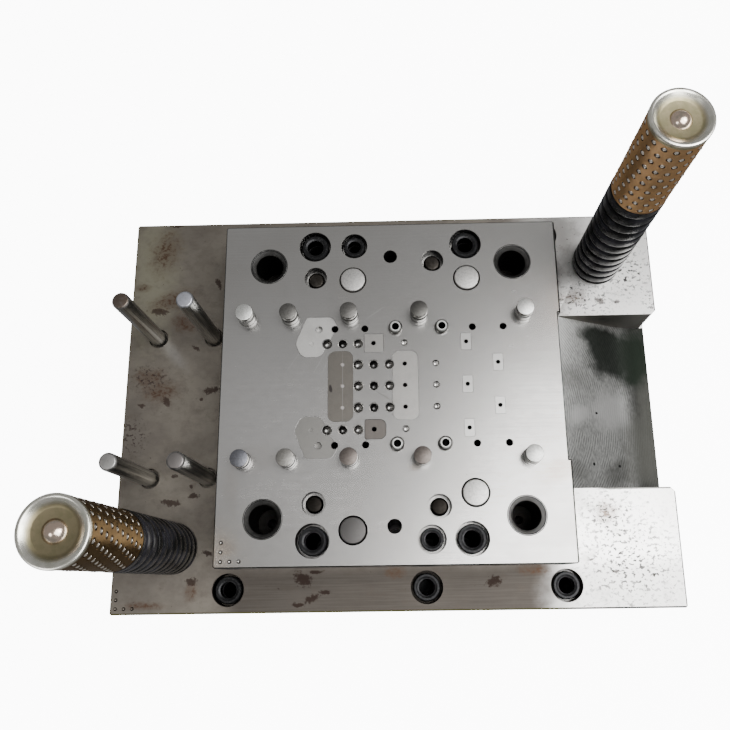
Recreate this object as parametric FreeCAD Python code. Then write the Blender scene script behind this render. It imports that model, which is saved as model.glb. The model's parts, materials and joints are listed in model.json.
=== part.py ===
import FreeCAD, Part

import math
import os

os.makedirs("parts", exist_ok=True)

V = FreeCAD.Vector

# Lower half of a small progressive die set, in millimetres.
# Origin: on the floor, at the middle of the shoe. +X is the feed direction, +Y the rear, +Z up.

# Risers, shoe and the two plates of the die block
riser_height = 60.0
riser_width = 30.0
shoe_length = 340.0
shoe_width = 250.0
shoe_thickness = 45.0
shoe_chamfer = 1.0
backing_thickness = 13.0
plate_thickness = 35.0
plate_length = 198.0
plate_width = 200.0
plate_corner = 1.0
plate_edge_chamfer = 0.6
backing_inset = 0.5

riser_top = riser_height
shoe_top = riser_top + shoe_thickness
backing_top = shoe_top + backing_thickness
plate_top = backing_top + plate_thickness

# Exit chute in the right-hand side of the shoe: a straight slope that runs out level
chute_half_width = 55.0
chute_depth = 31.0
chute_slope = 32.0
chute_radius = 50.0
chute_mouth_chamfer = 3.0

# Relief in the right-hand edge of the die plate, over the chute
relief_depth = 1.7
relief_front = -44.0
relief_rear = 42.0

# Fits
press_clearance = 0.01
slide_clearance = 0.05
thread_clearance = 0.05
screw_clearance = 0.5
insert_clearance = 0.02
counterbore_clearance = 1.4
spring_clearance = 0.5

# How far cutting tools run past a face
overrun = 1.0

# Socket head screws: thread diameters, and the head's sizes as shares of the thread's diameter
plate_screw_size = 10.0
small_screw_size = 8.0
riser_screw_size = 10.0
head_share = 1.6
socket_share = 0.78
socket_depth_share = 0.5
screw_chamfer_share = 0.06
head_recess = 1.5
plate_screw_grip = 22.0
small_screw_grip = 16.0
riser_screw_grip = 20.0
riser_screw_bottom_gap = 5.0

# Dowels, stop discs and feed pins
dowel_radius = 5.0
dowel_bore_radius = 6.6
dowel_bore_depth = 8.0
dowel_recess = 4.0
dowel_shoe_depth = 25.0
dowel_chamfer = 1.0
disc_radius = 7.25
disc_gap = 0.75
disc_proud = 1.0
disc_chamfer = 0.4
feed_pin_radius = 5.0
feed_pin_height = 75.0
feed_pin_seat_depth = 30.0
feed_pin_chamfer = 1.0
feed_pin_rim_gap = 1.0
feed_pin_rim_depth = 3.0

# Guide bushes of the inner guide pins
bush_outer_radius = 11.0
bush_bore_radius = 8.0
bush_mouth_chamfer = 2.4
bush_vent_radius = 2.5

# Strip lifters
lifter_radius = 5.0
lifter_height = 11.5
lifter_head_thickness = 3.6
lifter_neck_radius = 3.6
lifter_neck_length = 2.6
lifter_chamfer = 0.5
lifter_flange_radius = 6.5
lifter_flange_thickness = 4.0
lifter_spring_bore = 3.5
lifter_plug_radius = 8.0
plug_thickness = 9.0
plug_recess = 1.0
plug_socket_depth = 5.0

# Hollow pilot lifters
pilot_radius = 4.0
pilot_hole_radius = 2.0
pilot_height = 3.9
pilot_chamfer = 1.2
pilot_flange_radius = 5.5
pilot_flange_thickness = 3.5
pilot_spring_bore = 3.0
pilot_plug_radius = 7.0

# Outer guide posts, ball cages, cage springs and caps
post_radius = 12.5
post_height = 172.0
post_foot_gap = 2.0
post_chamfer = 1.0
cage_inner_radius = 13.0
cage_outer_radius = 15.0
cage_length = 67.0
cage_end_chamfer = 0.4
coil_inner_radius = 13.1
coil_outer_radius = 15.3
coil_turns = 11
coil_gap = 2.4
coil_crown = 0.7
cap_radius = 15.2
cap_thickness = 3.6
cap_dish_depth = 2.4
cap_edge = 0.5
cap_floor_radius = 9.6
cap_rim_radius = 12.7
cap_screw_head_radius = 5.25
cap_screw_head_height = 3.0
cap_screw_radius = 3.0
cap_screw_grip = 14.0
cap_screw_bottom_gap = 1.0

# Places on the shoe, from its edges
rear_post_inset_x = 35.9
rear_post_inset_y = 33.5
front_post_inset_x = 35.5
front_post_inset_y = 38.0
feed_pin_inset = 19.0
feed_pin_plate_gap = 11.0
feed_pin_offset = 45.0
riser_screw_inset = 13.5
riser_screw_inset_left = 70.0
riser_screw_inset_right = 69.5
riser_screw_middle = 18.0

# Places on the die plate: from its edges, then from its middle
bush_inset_x = 26.5
bush_inset_y = 25.8
plate_screw_inset = 13.8
plate_screw_column = 45.0
plate_screw_column_front_right = 42.2
small_screw_column_rear = -21.5
small_screw_column_front = 20.3
vent_inset = 21.0
disc_column_rear_left = -22.4
disc_column_front_left = -22.8
disc_column_right = 45.0
disc_inset_rear = 35.5
disc_inset_front_left = 19.1
disc_inset_front_right = 38.5
dowel_column_left = -44.5
dowel_column_right = 25.0
dowel_inset_left = 33.8
dowel_inset_rear_right = 24.1
dowel_inset_front_right = 31.5
vent_radius = 4.0
lifter_column_1 = -84.6
lifter_column_2 = -59.3
lifter_column_3 = -24.5
lifter_column_4 = 16.1
lifter_column_5 = 77.0
lifter_row = 42.0
pilot_row = 34.1

# Station grid: columns one pitch apart, from the first marking station
station_pitch = 8.95
first_station = -46.4
station_row = 12.65
pilot_stations = (5.45, 8.45)
guide_hole_stations = (1.5, 3.45, 10.45, 12.45)
guide_hole_radius = 2.0
guide_hole_relief = 1.0
draw_radius_first = 2.6
draw_radius_middle = 2.35
draw_radius_last = 2.45
draw_depth = 12.0
draw_rim = 0.5
pierce_radius = 1.2
coin_radius = 1.9
coin_depth = 3.0
coin_tip = 1.1
slug_relief = 1.5
locator_radius = 2.0
locator_depth = 3.5
locator_station = 0.46
mark_radius = 1.1
mark_depth = 0.4

# Slots in the shoe that slugs drop through
slug_slot_width = 6.4
slug_slot_reach = 3.4
slug_slot_round = 3.0

# Inserts let into the die plate; the pear's corners go from its first draw, rear side
pear_corners = ((-12.05, 16.3), (2.85, 16.3), (6.05, 10.7), (-3.75, -7.9), (-14.85, -7.9), (-18.65, 0.3))
pear_rounds = (2.5, 4.0, 3.0, 5.0, 5.0, 6.0)
button_width = 5.8
button_length = 10.0
slot_insert_length = 41.4
slot_insert_width = 14.4
slot_insert_station = 1.86
bar_insert_length = 40.4
bar_insert_width = 14.8
bar_insert_station = 6.02
end_round = 4.2
square_insert_size = 11.3
square_insert_station = 4.03
square_insert_offset = 25.3
square_insert_round = 0.8
dee_insert_length = 12.1
dee_insert_corner = 3.6
dee_insert_heel = 1.2

# Setter's dimples, five in an L at the front left-hand corners of shoe and plate
dimple_radius = 1.1
dimple_depth = 0.8
dimple_pitch = 5.0
plate_dimple_inset = (4.2, 3.5)
shoe_dimple_inset = (3.5, 3.6)


def column(k):
    """X of a station column, counted in pitches from the first marking station."""
    return first_station + k * station_pitch


def cylinder(x, y, radius, low, high):
    return Part.makeCylinder(radius, high - low, V(x, y, low))


def cone(x, y, low_radius, high_radius, low, high):
    return Part.makeCone(low_radius, high_radius, high - low, V(x, y, low))


def prism(points, low, high):
    """Upright solid over a closed outline of (x, y) points."""
    wire = Part.makePolygon([V(x, y, low) for x, y in points] + [V(points[0][0], points[0][1], low)])
    return Part.Face(wire).extrude(V(0, 0, high - low))


def turned(x, y, profile):
    """Solid of revolution about the vertical through (x, y), from (radius, z) points."""
    wire = Part.makePolygon([V(r, 0, z) for r, z in profile] + [V(profile[0][0], 0, profile[0][1])])
    solid = Part.Face(wire).revolve(V(0, 0, 0), V(0, 0, 1), 360)
    solid.translate(V(x, y, 0))
    return solid


def rectangle(x, y, width, length):
    """Corners of a rectangle about (x, y): width along the feed, length across it."""
    half_x = width / 2
    half_y = length / 2
    return [(x - half_x, y - half_y), (x + half_x, y - half_y),
            (x + half_x, y + half_y), (x - half_x, y + half_y)]


def hexagon(x, y, across_flats, low, high):
    corner = across_flats / math.sqrt(3)
    corners = [math.radians(60 * i) for i in range(6)]
    return prism([(x + corner * math.cos(a), y + corner * math.sin(a)) for a in corners], low, high)


def rounded_outline(points, radii):
    """Closed wire at z = 0 through the corners, each rounded by an arc of its own radius."""
    count = len(points)
    joints = []
    for i in range(count):
        corner = V(points[i][0], points[i][1], 0)
        before = V(points[i - 1][0], points[i - 1][1], 0)
        after = V(points[(i + 1) % count][0], points[(i + 1) % count][1], 0)
        back = (before - corner).normalize()
        forward = (after - corner).normalize()
        half = back.getAngle(forward) / 2
        reach = radii[i] / math.tan(half)
        middle = corner + (back + forward).normalize() * (radii[i] / math.sin(half) - radii[i])
        joints.append((corner + back * reach, middle, corner + forward * reach))
    edges = []
    for i in range(count):
        start, middle, end = joints[i]
        edges.append(Part.Arc(start, middle, end).toShape())
        edges.append(Part.LineSegment(end, joints[(i + 1) % count][0]).toShape())
    return Part.Wire(edges)


def upright(wire, low, high):
    face = Part.Face(wire)
    face.translate(V(0, 0, low))
    return face.extrude(V(0, 0, high - low))


def grown(wire, amount):
    """The same outline moved outwards by a clearance."""
    return wire.makeOffset2D(amount)


def cut_all(solid, tools):
    return solid.cut(Part.makeCompound(tools)) if tools else solid


def write(name, solids):
    """One file per node; a list of solids becomes one group."""
    shape = solids[0] if len(solids) == 1 else Part.makeCompound(solids)
    shape.exportStep("parts/" + name + ".step")


# Places worked out from the values above

rear_post = (shoe_length / 2 - rear_post_inset_x, shoe_width / 2 - rear_post_inset_y)
front_post = (front_post_inset_x - shoe_length / 2, front_post_inset_y - shoe_width / 2)
feed_pin_columns = (feed_pin_inset - shoe_length / 2,
                    -plate_length / 2 - feed_pin_plate_gap - feed_pin_radius)
feed_pin_places = [(x, side * feed_pin_offset) for side in (1, -1) for x in feed_pin_columns]
riser_screw_columns = (riser_screw_inset_left - shoe_length / 2, riser_screw_middle,
                       shoe_length / 2 - riser_screw_inset_right)
riser_screw_row = shoe_width / 2 - riser_screw_inset
riser_screw_places = [(x, side * riser_screw_row) for side in (1, -1) for x in riser_screw_columns]
bush_column = plate_length / 2 - bush_inset_x
bush_row = plate_width / 2 - bush_inset_y
bush_places = [(sx * bush_column, sy * bush_row) for sy in (1, -1) for sx in (-1, 1)]
screw_row = plate_width / 2 - plate_screw_inset
plate_screw_places = [(-plate_screw_column, screw_row), (plate_screw_column, screw_row),
                      (-plate_screw_column, -screw_row), (plate_screw_column_front_right, -screw_row)]
small_screw_places = [(small_screw_column_rear, screw_row), (small_screw_column_front, -screw_row)]
vent_places = [(0.0, side * (plate_width / 2 - vent_inset)) for side in (1, -1)]
disc_places = [(disc_column_rear_left, plate_width / 2 - disc_inset_rear),
               (disc_column_right, plate_width / 2 - disc_inset_rear),
               (disc_column_front_left, disc_inset_front_left - plate_width / 2),
               (disc_column_right, disc_inset_front_right - plate_width / 2)]
dowel_places = [(dowel_column_left, plate_width / 2 - dowel_inset_left),
                (dowel_column_right, plate_width / 2 - dowel_inset_rear_right),
                (dowel_column_left, dowel_inset_left - plate_width / 2),
                (dowel_column_right, dowel_inset_front_right - plate_width / 2)]
lifter_columns = (lifter_column_1, lifter_column_2, lifter_column_3, lifter_column_4, lifter_column_5)
lifter_places = [(x, side * lifter_row) for side in (1, -1) for x in lifter_columns]
pilot_places = [(column(k), side * pilot_row) for side in (1, -1) for k in pilot_stations]
guide_hole_places = [(column(k), side * pilot_row) for side in (1, -1) for k in guide_hole_stations]
outer_rows = (2 * station_row, -2 * station_row)
inner_rows = (station_row, 0.0, -station_row)
button_places = [(column(10), y) for y in (2 * station_row, 0.0, -2 * station_row)]
button_places += [(column(12), y) for y in (station_row, -station_row)]
first_draws = [(column(1), y) for y in outer_rows] + [(column(3), y) for y in inner_rows]
middle_draws = [(column(2), y) for y in outer_rows] + [(column(4), y) for y in inner_rows]
last_draws = [(column(3), y) for y in outer_rows] + [(column(5), y) for y in inner_rows]
pierce_places = [(column(4), y) for y in outer_rows] + [(column(6), y) for y in inner_rows]
coin_places = [(column(6), y) for y in outer_rows] + [(column(8), y) for y in inner_rows]
locator_places = [(column(locator_station), y) for y in (pilot_row, -pilot_row)]
mark_places = [(column(0), y) for y in outer_rows] + [(column(2), y) for y in inner_rows]


# Screws

def head_radius(size):
    return head_share * size / 2


def socket_screw(x, y, size, head_top, shank_end):
    """Cap screw with a hexagon socket, standing head up."""
    chamfer = screw_chamfer_share * size
    radius = head_radius(size)
    seat = head_top - size
    body = turned(x, y, [
        (0, shank_end),
        (size / 2 - chamfer, shank_end),
        (size / 2, shank_end + chamfer),
        (size / 2, seat),
        (radius, seat),
        (radius, head_top - chamfer),
        (radius - chamfer, head_top),
        (0, head_top),
    ])
    floor = head_top - socket_depth_share * size
    return body.cut(hexagon(x, y, socket_share * size, floor, head_top + overrun))


def counterbore(x, y, size, surface, through):
    """Tool that lets a screw's head and shank into a plate, down to the level called through."""
    seat = surface - head_recess - size
    head = cylinder(x, y, head_radius(size) + counterbore_clearance, seat, surface + overrun)
    shank = cylinder(x, y, size / 2 + screw_clearance, through, seat + overrun)
    return head.fuse(shank)


def thread_hole(x, y, size, low, high):
    return cylinder(x, y, size / 2 + thread_clearance, low, high)


def make_screws():
    plate_end = shoe_top - plate_screw_grip
    small_end = shoe_top - small_screw_grip
    riser_end = riser_top - riser_screw_grip
    plate_head = plate_top - head_recess
    shoe_head = shoe_top - head_recess
    write("plate_screws", [socket_screw(x, y, plate_screw_size, plate_head, plate_end)
                           for x, y in plate_screw_places])
    write("small_plate_screws", [socket_screw(x, y, small_screw_size, plate_head, small_end)
                                 for x, y in small_screw_places])
    write("riser_screws", [socket_screw(x, y, riser_screw_size, shoe_head, riser_end)
                           for x, y in riser_screw_places])


# Outlines of the inserts, each about its own place

def pear_outline(side):
    """Pear-shaped insert of the first draw; side is 1 at the rear and -1 at the front."""
    x, y = first_draws[0]
    return rounded_outline([(x + dx, side * (y + dy)) for dx, dy in pear_corners], pear_rounds)


def rounded_bar(x, y, length, width, corner):
    return rounded_outline(rectangle(x, y, width, length), [corner] * 4)


def dee_outline():
    """Insert with a nearly square heel at the left and a well rounded nose at the right."""
    x = column(square_insert_station)
    y = -square_insert_offset
    half = square_insert_size / 2
    left = x - half
    right = left + dee_insert_length
    corners = [(left, y - half), (right, y - half), (right, y + half), (left, y + half)]
    radii = [dee_insert_heel, dee_insert_corner, dee_insert_corner, dee_insert_heel]
    return rounded_outline(corners, radii)


def insert_outlines():
    slot_x = column(slot_insert_station)
    bar_x = column(bar_insert_station)
    square_x = column(square_insert_station)
    return {
        "pear_insert_rear": pear_outline(1),
        "pear_insert_front": pear_outline(-1),
        "slot_insert": rounded_bar(slot_x, 0.0, slot_insert_length, slot_insert_width, end_round),
        "bar_insert": rounded_bar(bar_x, 0.0, bar_insert_length, bar_insert_width, end_round),
        "square_insert": rounded_bar(square_x, square_insert_offset, square_insert_size, square_insert_size,
                                     square_insert_round),
        "dee_insert": dee_outline(),
    }


def button(x, y, clearance, low, high):
    """Small rectangular insert or, with a clearance, its pocket."""
    return prism(rectangle(x, y, button_width + 2 * clearance, button_length + 2 * clearance), low, high)


# Station tools: what the stations take out of the die plate and its inserts

def through_plate(x, y, radius):
    return cylinder(x, y, radius, backing_top - overrun, plate_top + overrun)


def into_plate(x, y, radius, depth):
    return cylinder(x, y, radius, plate_top - depth, plate_top + overrun)


def draw_cavity(x, y, radius):
    """Blind draw die with a relieved rim."""
    return turned(x, y, [
        (0, plate_top - draw_depth),
        (radius, plate_top - draw_depth),
        (radius, plate_top - draw_rim),
        (radius + draw_rim, plate_top),
        (radius + draw_rim, plate_top + overrun),
        (0, plate_top + overrun),
    ])


def coin_cavity(x, y):
    """Shallow pocket with a tapered floor."""
    return turned(x, y, [
        (0, plate_top - coin_depth - coin_tip),
        (coin_radius, plate_top - coin_depth),
        (coin_radius, plate_top + overrun),
        (0, plate_top + overrun),
    ])


def station_tools():
    tools = [draw_cavity(x, y, draw_radius_first) for x, y in first_draws]
    tools += [draw_cavity(x, y, draw_radius_middle) for x, y in middle_draws]
    tools += [draw_cavity(x, y, draw_radius_last) for x, y in last_draws]
    tools += [coin_cavity(x, y) for x, y in coin_places]
    tools += [through_plate(x, y, pierce_radius) for x, y in pierce_places + button_places]
    tools += [through_plate(x, y, guide_hole_radius) for x, y in guide_hole_places]
    tools += [into_plate(x, y, locator_radius, locator_depth) for x, y in locator_places]
    tools += [into_plate(x, y, mark_radius, mark_depth) for x, y in mark_places]
    return tools


def dimples(corner_x, corner_y, inset, surface):
    """Five setter's dimples in an L, from a plate's front left-hand corner."""
    x = corner_x + inset[0]
    y = corner_y + inset[1]
    places = [(x, y + i * dimple_pitch) for i in (1, 2)] + [(x + i * dimple_pitch, y) for i in (0, 1, 2)]
    return [cone(px, py, 0.0, 2 * dimple_radius, surface - dimple_depth, surface + dimple_depth)
            for px, py in places]


# Plates

def plate_outline(length, width, corner, low, high):
    """Rectangular plate with its upright corners cut off."""
    half_x = length / 2
    half_y = width / 2
    points = [
        (-half_x + corner, -half_y), (half_x - corner, -half_y), (half_x, -half_y + corner),
        (half_x, half_y - corner), (half_x - corner, half_y), (-half_x + corner, half_y),
        (-half_x, half_y - corner), (-half_x, -half_y + corner),
    ]
    return prism(points, low, high)


def top_edges(solid, level):
    """Straight edges round the top of a plate."""
    return [edge for edge in solid.Edges
            if abs(edge.BoundBox.ZMin - level) < 1e-6 and abs(edge.BoundBox.ZMax - level) < 1e-6]


def make_die_plate(outlines):
    plate = plate_outline(plate_length, plate_width, plate_corner, backing_top, plate_top)
    relief = Part.makeBox(relief_depth + overrun, relief_rear - relief_front, plate_thickness + 2 * overrun,
                          V(plate_length / 2 - relief_depth, relief_front, backing_top - overrun))
    plate = plate.cut(relief)
    plate = plate.makeChamfer(plate_edge_chamfer, top_edges(plate, plate_top))
    low = backing_top - overrun
    high = plate_top + overrun
    tools = station_tools()
    tools += [upright(grown(wire, insert_clearance), low, high) for wire in outlines.values()]
    tools += [button(x, y, insert_clearance, low, high) for x, y in button_places]
    tools += [through_plate(x, y, bush_outer_radius + press_clearance) for x, y in bush_places]
    tools += [counterbore(x, y, plate_screw_size, plate_top, low) for x, y in plate_screw_places]
    tools += [counterbore(x, y, small_screw_size, plate_top, low) for x, y in small_screw_places]
    tools += [through_plate(x, y, disc_radius + disc_gap) for x, y in disc_places]
    tools += [through_plate(x, y, dowel_radius + press_clearance) for x, y in dowel_places]
    tools += [into_plate(x, y, dowel_bore_radius, dowel_bore_depth) for x, y in dowel_places]
    tools += [through_plate(x, y, vent_radius) for x, y in vent_places]
    tools += [through_plate(x, y, lifter_radius + slide_clearance) for x, y in lifter_places]
    tools += [through_plate(x, y, pilot_radius + slide_clearance) for x, y in pilot_places]
    tools += dimples(-plate_length / 2, -plate_width / 2, plate_dimple_inset, plate_top)
    write("die_plate", [cut_all(plate, tools)])


def vents(low, high):
    """Air holes below the bushes, and the two larger ones between them."""
    tools = [cylinder(x, y, bush_vent_radius, low, high) for x, y in bush_places]
    return tools + [cylinder(x, y, vent_radius, low, high) for x, y in vent_places]


def slug_holes(low, high):
    """Holes of the backing plate that widen below the cutting stations, for slugs and pilots."""
    slug_radius = pierce_radius + slug_relief
    pilot_hole = guide_hole_radius + guide_hole_relief
    tools = [cylinder(x, y, slug_radius, low, high) for x, y in pierce_places + button_places]
    return tools + [cylinder(x, y, pilot_hole, low, high) for x, y in guide_hole_places]


def slug_slots(low, high):
    """Milled slots of the shoe, one under each column of cutting stations."""
    columns = sorted({x for x, y in pierce_places + button_places})
    tools = []
    for x in columns:
        reach = max(y for px, y in pierce_places + button_places if px == x) + slug_slot_reach
        tools.append(upright(rounded_bar(x, 0.0, 2 * reach, slug_slot_width, slug_slot_round), low, high))
    return tools


def make_backing_plate():
    plate = plate_outline(plate_length - 2 * backing_inset, plate_width - 2 * backing_inset, plate_corner,
                          shoe_top, backing_top)
    low = shoe_top - overrun
    high = backing_top + overrun
    tools = slug_holes(low, high) + vents(low, high)
    plate_shank = plate_screw_size / 2 + screw_clearance
    small_shank = small_screw_size / 2 + screw_clearance
    tools += [cylinder(x, y, plate_shank, low, high) for x, y in plate_screw_places]
    tools += [cylinder(x, y, small_shank, low, high) for x, y in small_screw_places]
    tools += [cylinder(x, y, dowel_radius + press_clearance, low, high) for x, y in dowel_places]
    tools += [cylinder(x, y, lifter_flange_radius + spring_clearance, low, high) for x, y in lifter_places]
    tools += [cylinder(x, y, pilot_flange_radius + spring_clearance, low, high) for x, y in pilot_places]
    write("backing_plate", [cut_all(plate, tools)])


def chute_tool():
    """Space of the exit chute: a slope from the top face that an arc turns level at the shoe's side."""
    angle = math.radians(chute_slope)
    end_x = shoe_length / 2
    floor = shoe_top - chute_depth
    arc_start_x = end_x - chute_radius * math.sin(angle)
    arc_start_z = floor + chute_radius * (1 - math.cos(angle))
    top_x = arc_start_x - (shoe_top - arc_start_z) / math.tan(angle)
    middle_x = end_x - chute_radius * math.sin(angle / 2)
    middle_z = floor + chute_radius * (1 - math.cos(angle / 2))
    y = -chute_half_width
    slope_start = V(top_x - overrun, y, shoe_top + overrun * math.tan(angle))
    arc_start = V(arc_start_x, y, arc_start_z)
    arc_end = V(end_x, y, floor)
    outside = V(end_x + overrun, y, floor)
    above = V(end_x + overrun, y, shoe_top + overrun * math.tan(angle))
    edges = [
        Part.LineSegment(slope_start, arc_start).toShape(),
        Part.Arc(arc_start, V(middle_x, y, middle_z), arc_end).toShape(),
        Part.LineSegment(arc_end, outside).toShape(),
        Part.LineSegment(outside, above).toShape(),
        Part.LineSegment(above, slope_start).toShape(),
    ]
    return Part.Face(Part.Wire(edges)).extrude(V(0, 2 * chute_half_width, 0))


def chute_mouth_tools():
    """Chamfers on the two upright corners where the chute leaves the shoe."""
    start_x = shoe_length / 2 - chute_mouth_chamfer
    end_x = shoe_length / 2 + overrun
    tools = []
    for side in (1, -1):
        wall = side * chute_half_width
        outer = wall + side * (chute_mouth_chamfer + overrun)
        tools.append(prism([(start_x, wall), (end_x, wall), (end_x, outer)], shoe_top - chute_depth,
                           shoe_top + overrun))
    return tools


def spring_bores(places, bore_radius, plug_radius):
    """Through bores for the lifter springs, wider at the foot for a threaded plug."""
    tools = []
    for x, y in places:
        tools.append(cylinder(x, y, bore_radius, riser_top - overrun, shoe_top + overrun))
        tools.append(cylinder(x, y, plug_radius + thread_clearance, riser_top - overrun,
                              riser_top + plug_recess + plug_thickness))
    return tools


def make_shoe():
    corner = V(-shoe_length / 2, -shoe_width / 2, riser_top)
    shoe = Part.makeBox(shoe_length, shoe_width, shoe_thickness, corner)
    shoe = shoe.makeChamfer(shoe_chamfer, shoe.Edges)
    low = riser_top - overrun
    tools = [chute_tool()] + chute_mouth_tools()
    tools += slug_slots(low, shoe_top + overrun) + vents(low, shoe_top + overrun)
    tools += [thread_hole(x, y, plate_screw_size, low, shoe_top + overrun) for x, y in plate_screw_places]
    tools += [thread_hole(x, y, small_screw_size, low, shoe_top + overrun) for x, y in small_screw_places]
    tools += [counterbore(x, y, riser_screw_size, shoe_top, low) for x, y in riser_screw_places]
    tools += [cylinder(x, y, dowel_radius + press_clearance, shoe_top - dowel_shoe_depth, shoe_top + overrun)
              for x, y in dowel_places]
    tools += spring_bores(lifter_places, lifter_flange_radius + spring_clearance, lifter_plug_radius)
    tools += spring_bores(pilot_places, pilot_flange_radius + spring_clearance, pilot_plug_radius)
    pin_seat = shoe_top - feed_pin_seat_depth
    pin_rim = shoe_top - feed_pin_rim_depth
    for x, y in feed_pin_places:
        tools.append(cylinder(x, y, feed_pin_radius + press_clearance, pin_seat, shoe_top))
        tools.append(cylinder(x, y, feed_pin_radius + feed_pin_rim_gap, pin_rim, shoe_top + overrun))
    for x, y in (rear_post, front_post):
        tools.append(cylinder(x, y, post_radius + press_clearance, low, shoe_top + overrun))
    tools += dimples(-shoe_length / 2, -shoe_width / 2, shoe_dimple_inset, shoe_top)
    write("die_shoe", [cut_all(shoe, tools)])


def make_risers():
    for name, side in (("riser_rear", 1), ("riser_front", -1)):
        outer = side * shoe_width / 2
        inner = outer - side * riser_width
        bar = Part.makeBox(shoe_length, riser_width, riser_height, V(-shoe_length / 2, min(outer, inner), 0))
        bar = bar.makeChamfer(shoe_chamfer, bar.Edges)
        depth = riser_screw_grip + riser_screw_bottom_gap
        tools = [thread_hole(x, y, riser_screw_size, riser_top - depth, riser_top + overrun)
                 for x, y in riser_screw_places if y * side > 0]
        write(name, [cut_all(bar, tools)])


# Inserts

def make_inserts(outlines):
    tools = station_tools()
    for name, wire in outlines.items():
        solid = upright(wire, backing_top, plate_top)
        write(name, [cut_all(solid, tools)])
    blocks = []
    for x, y in button_places:
        block = button(x, y, 0.0, backing_top, plate_top)
        blocks.append(block.cut(cylinder(x, y, pierce_radius, backing_top - overrun, plate_top + overrun)))
    write("button_inserts", blocks)


# Bushes, dowels, discs and feed pins

def guide_bush(x, y):
    return turned(x, y, [
        (bush_bore_radius, backing_top),
        (bush_outer_radius, backing_top),
        (bush_outer_radius, plate_top),
        (bush_bore_radius + bush_mouth_chamfer, plate_top),
        (bush_bore_radius, plate_top - bush_mouth_chamfer),
    ])


def chamfered_pin(x, y, radius, low, high, chamfer):
    return turned(x, y, [
        (0, low),
        (radius - chamfer, low),
        (radius, low + chamfer),
        (radius, high - chamfer),
        (radius - chamfer, high),
        (0, high),
    ])


def make_pins():
    write("guide_bushes", [guide_bush(x, y) for x, y in bush_places])
    dowel_low = shoe_top - dowel_shoe_depth
    dowel_high = plate_top - dowel_recess
    write("dowel_pins", [chamfered_pin(x, y, dowel_radius, dowel_low, dowel_high, dowel_chamfer)
                         for x, y in dowel_places])
    write("stop_discs", [chamfered_pin(x, y, disc_radius, backing_top, plate_top + disc_proud, disc_chamfer)
                         for x, y in disc_places])
    pin_low = shoe_top - feed_pin_seat_depth
    pin_high = shoe_top + feed_pin_height
    write("feed_pins", [chamfered_pin(x, y, feed_pin_radius, pin_low, pin_high, feed_pin_chamfer)
                        for x, y in feed_pin_places])


# Strip lifters and pilot lifters, with their springs and plugs

def strip_lifter(x, y):
    """Grooved lifter: head, neck for the strip's edge, body and a flange below the die plate."""
    top = plate_top + lifter_height
    neck_top = top - lifter_head_thickness
    neck_low = neck_top - lifter_neck_length
    return turned(x, y, [
        (0, backing_top - lifter_flange_thickness),
        (lifter_flange_radius, backing_top - lifter_flange_thickness),
        (lifter_flange_radius, backing_top),
        (lifter_radius, backing_top),
        (lifter_radius, neck_low - lifter_chamfer),
        (lifter_radius - lifter_chamfer, neck_low),
        (lifter_neck_radius, neck_low),
        (lifter_neck_radius, neck_top),
        (lifter_radius, neck_top),
        (lifter_radius, top - lifter_chamfer),
        (lifter_radius - lifter_chamfer, top),
        (0, top),
    ])


def pilot_lifter(x, y):
    """Hollow lifter that a pilot passes through."""
    top = plate_top + pilot_height
    return turned(x, y, [
        (pilot_hole_radius, backing_top - pilot_flange_thickness),
        (pilot_flange_radius, backing_top - pilot_flange_thickness),
        (pilot_flange_radius, backing_top),
        (pilot_radius, backing_top),
        (pilot_radius, top - pilot_chamfer),
        (pilot_radius - pilot_chamfer, top),
        (pilot_hole_radius, top),
    ])


def spring_sleeve(x, y, radius, bore, low, high):
    """Lifter spring in its bore, as the plain sleeve that its coils fill."""
    return cylinder(x, y, radius, low, high).cut(cylinder(x, y, bore, low - overrun, high + overrun))


def threaded_plug(x, y, radius, bore):
    low = riser_top + plug_recess
    plug = cylinder(x, y, radius, low, low + plug_thickness)
    plug = plug.cut(hexagon(x, y, radius, low - overrun, low + plug_socket_depth))
    return plug.cut(cylinder(x, y, bore, low - overrun, low + plug_thickness + overrun)) if bore else plug


def make_lifters():
    low = riser_top + plug_recess + plug_thickness
    lifter_seat = backing_top - lifter_flange_thickness
    pilot_seat = backing_top - pilot_flange_thickness
    for number, (x, y) in enumerate(lifter_places, 1):
        spring = spring_sleeve(x, y, lifter_flange_radius, lifter_spring_bore, low, lifter_seat)
        write("strip_lifter_%d" % number, [strip_lifter(x, y)])
        write("lifter_spring_%d" % number, [spring])
    for number, (x, y) in enumerate(pilot_places, 1):
        spring = spring_sleeve(x, y, pilot_flange_radius, pilot_spring_bore, low, pilot_seat)
        write("pilot_lifter_%d" % number, [pilot_lifter(x, y)])
        write("pilot_spring_%d" % number, [spring])
    write("lifter_plugs", [threaded_plug(x, y, lifter_plug_radius, 0) for x, y in lifter_places])
    write("pilot_plugs", [threaded_plug(x, y, pilot_plug_radius, pilot_hole_radius) for x, y in pilot_places])


# Outer guide posts

def guide_post(place):
    x, y = place
    top = shoe_top + post_height
    post = chamfered_pin(x, y, post_radius, riser_top + post_foot_gap, top, post_chamfer)
    thread_end = top - cap_screw_grip - cap_screw_bottom_gap
    return post.cut(thread_hole(x, y, 2 * cap_screw_radius, thread_end, top + overrun))


def ball_cage(place):
    x, y = place
    top = shoe_top + post_height
    low = top - cage_length
    return turned(x, y, [
        (cage_inner_radius, low),
        (cage_outer_radius - cage_end_chamfer, low),
        (cage_outer_radius, low + cage_end_chamfer),
        (cage_outer_radius, top - cage_end_chamfer),
        (cage_outer_radius - cage_end_chamfer, top),
        (cage_inner_radius, top),
    ])


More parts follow.
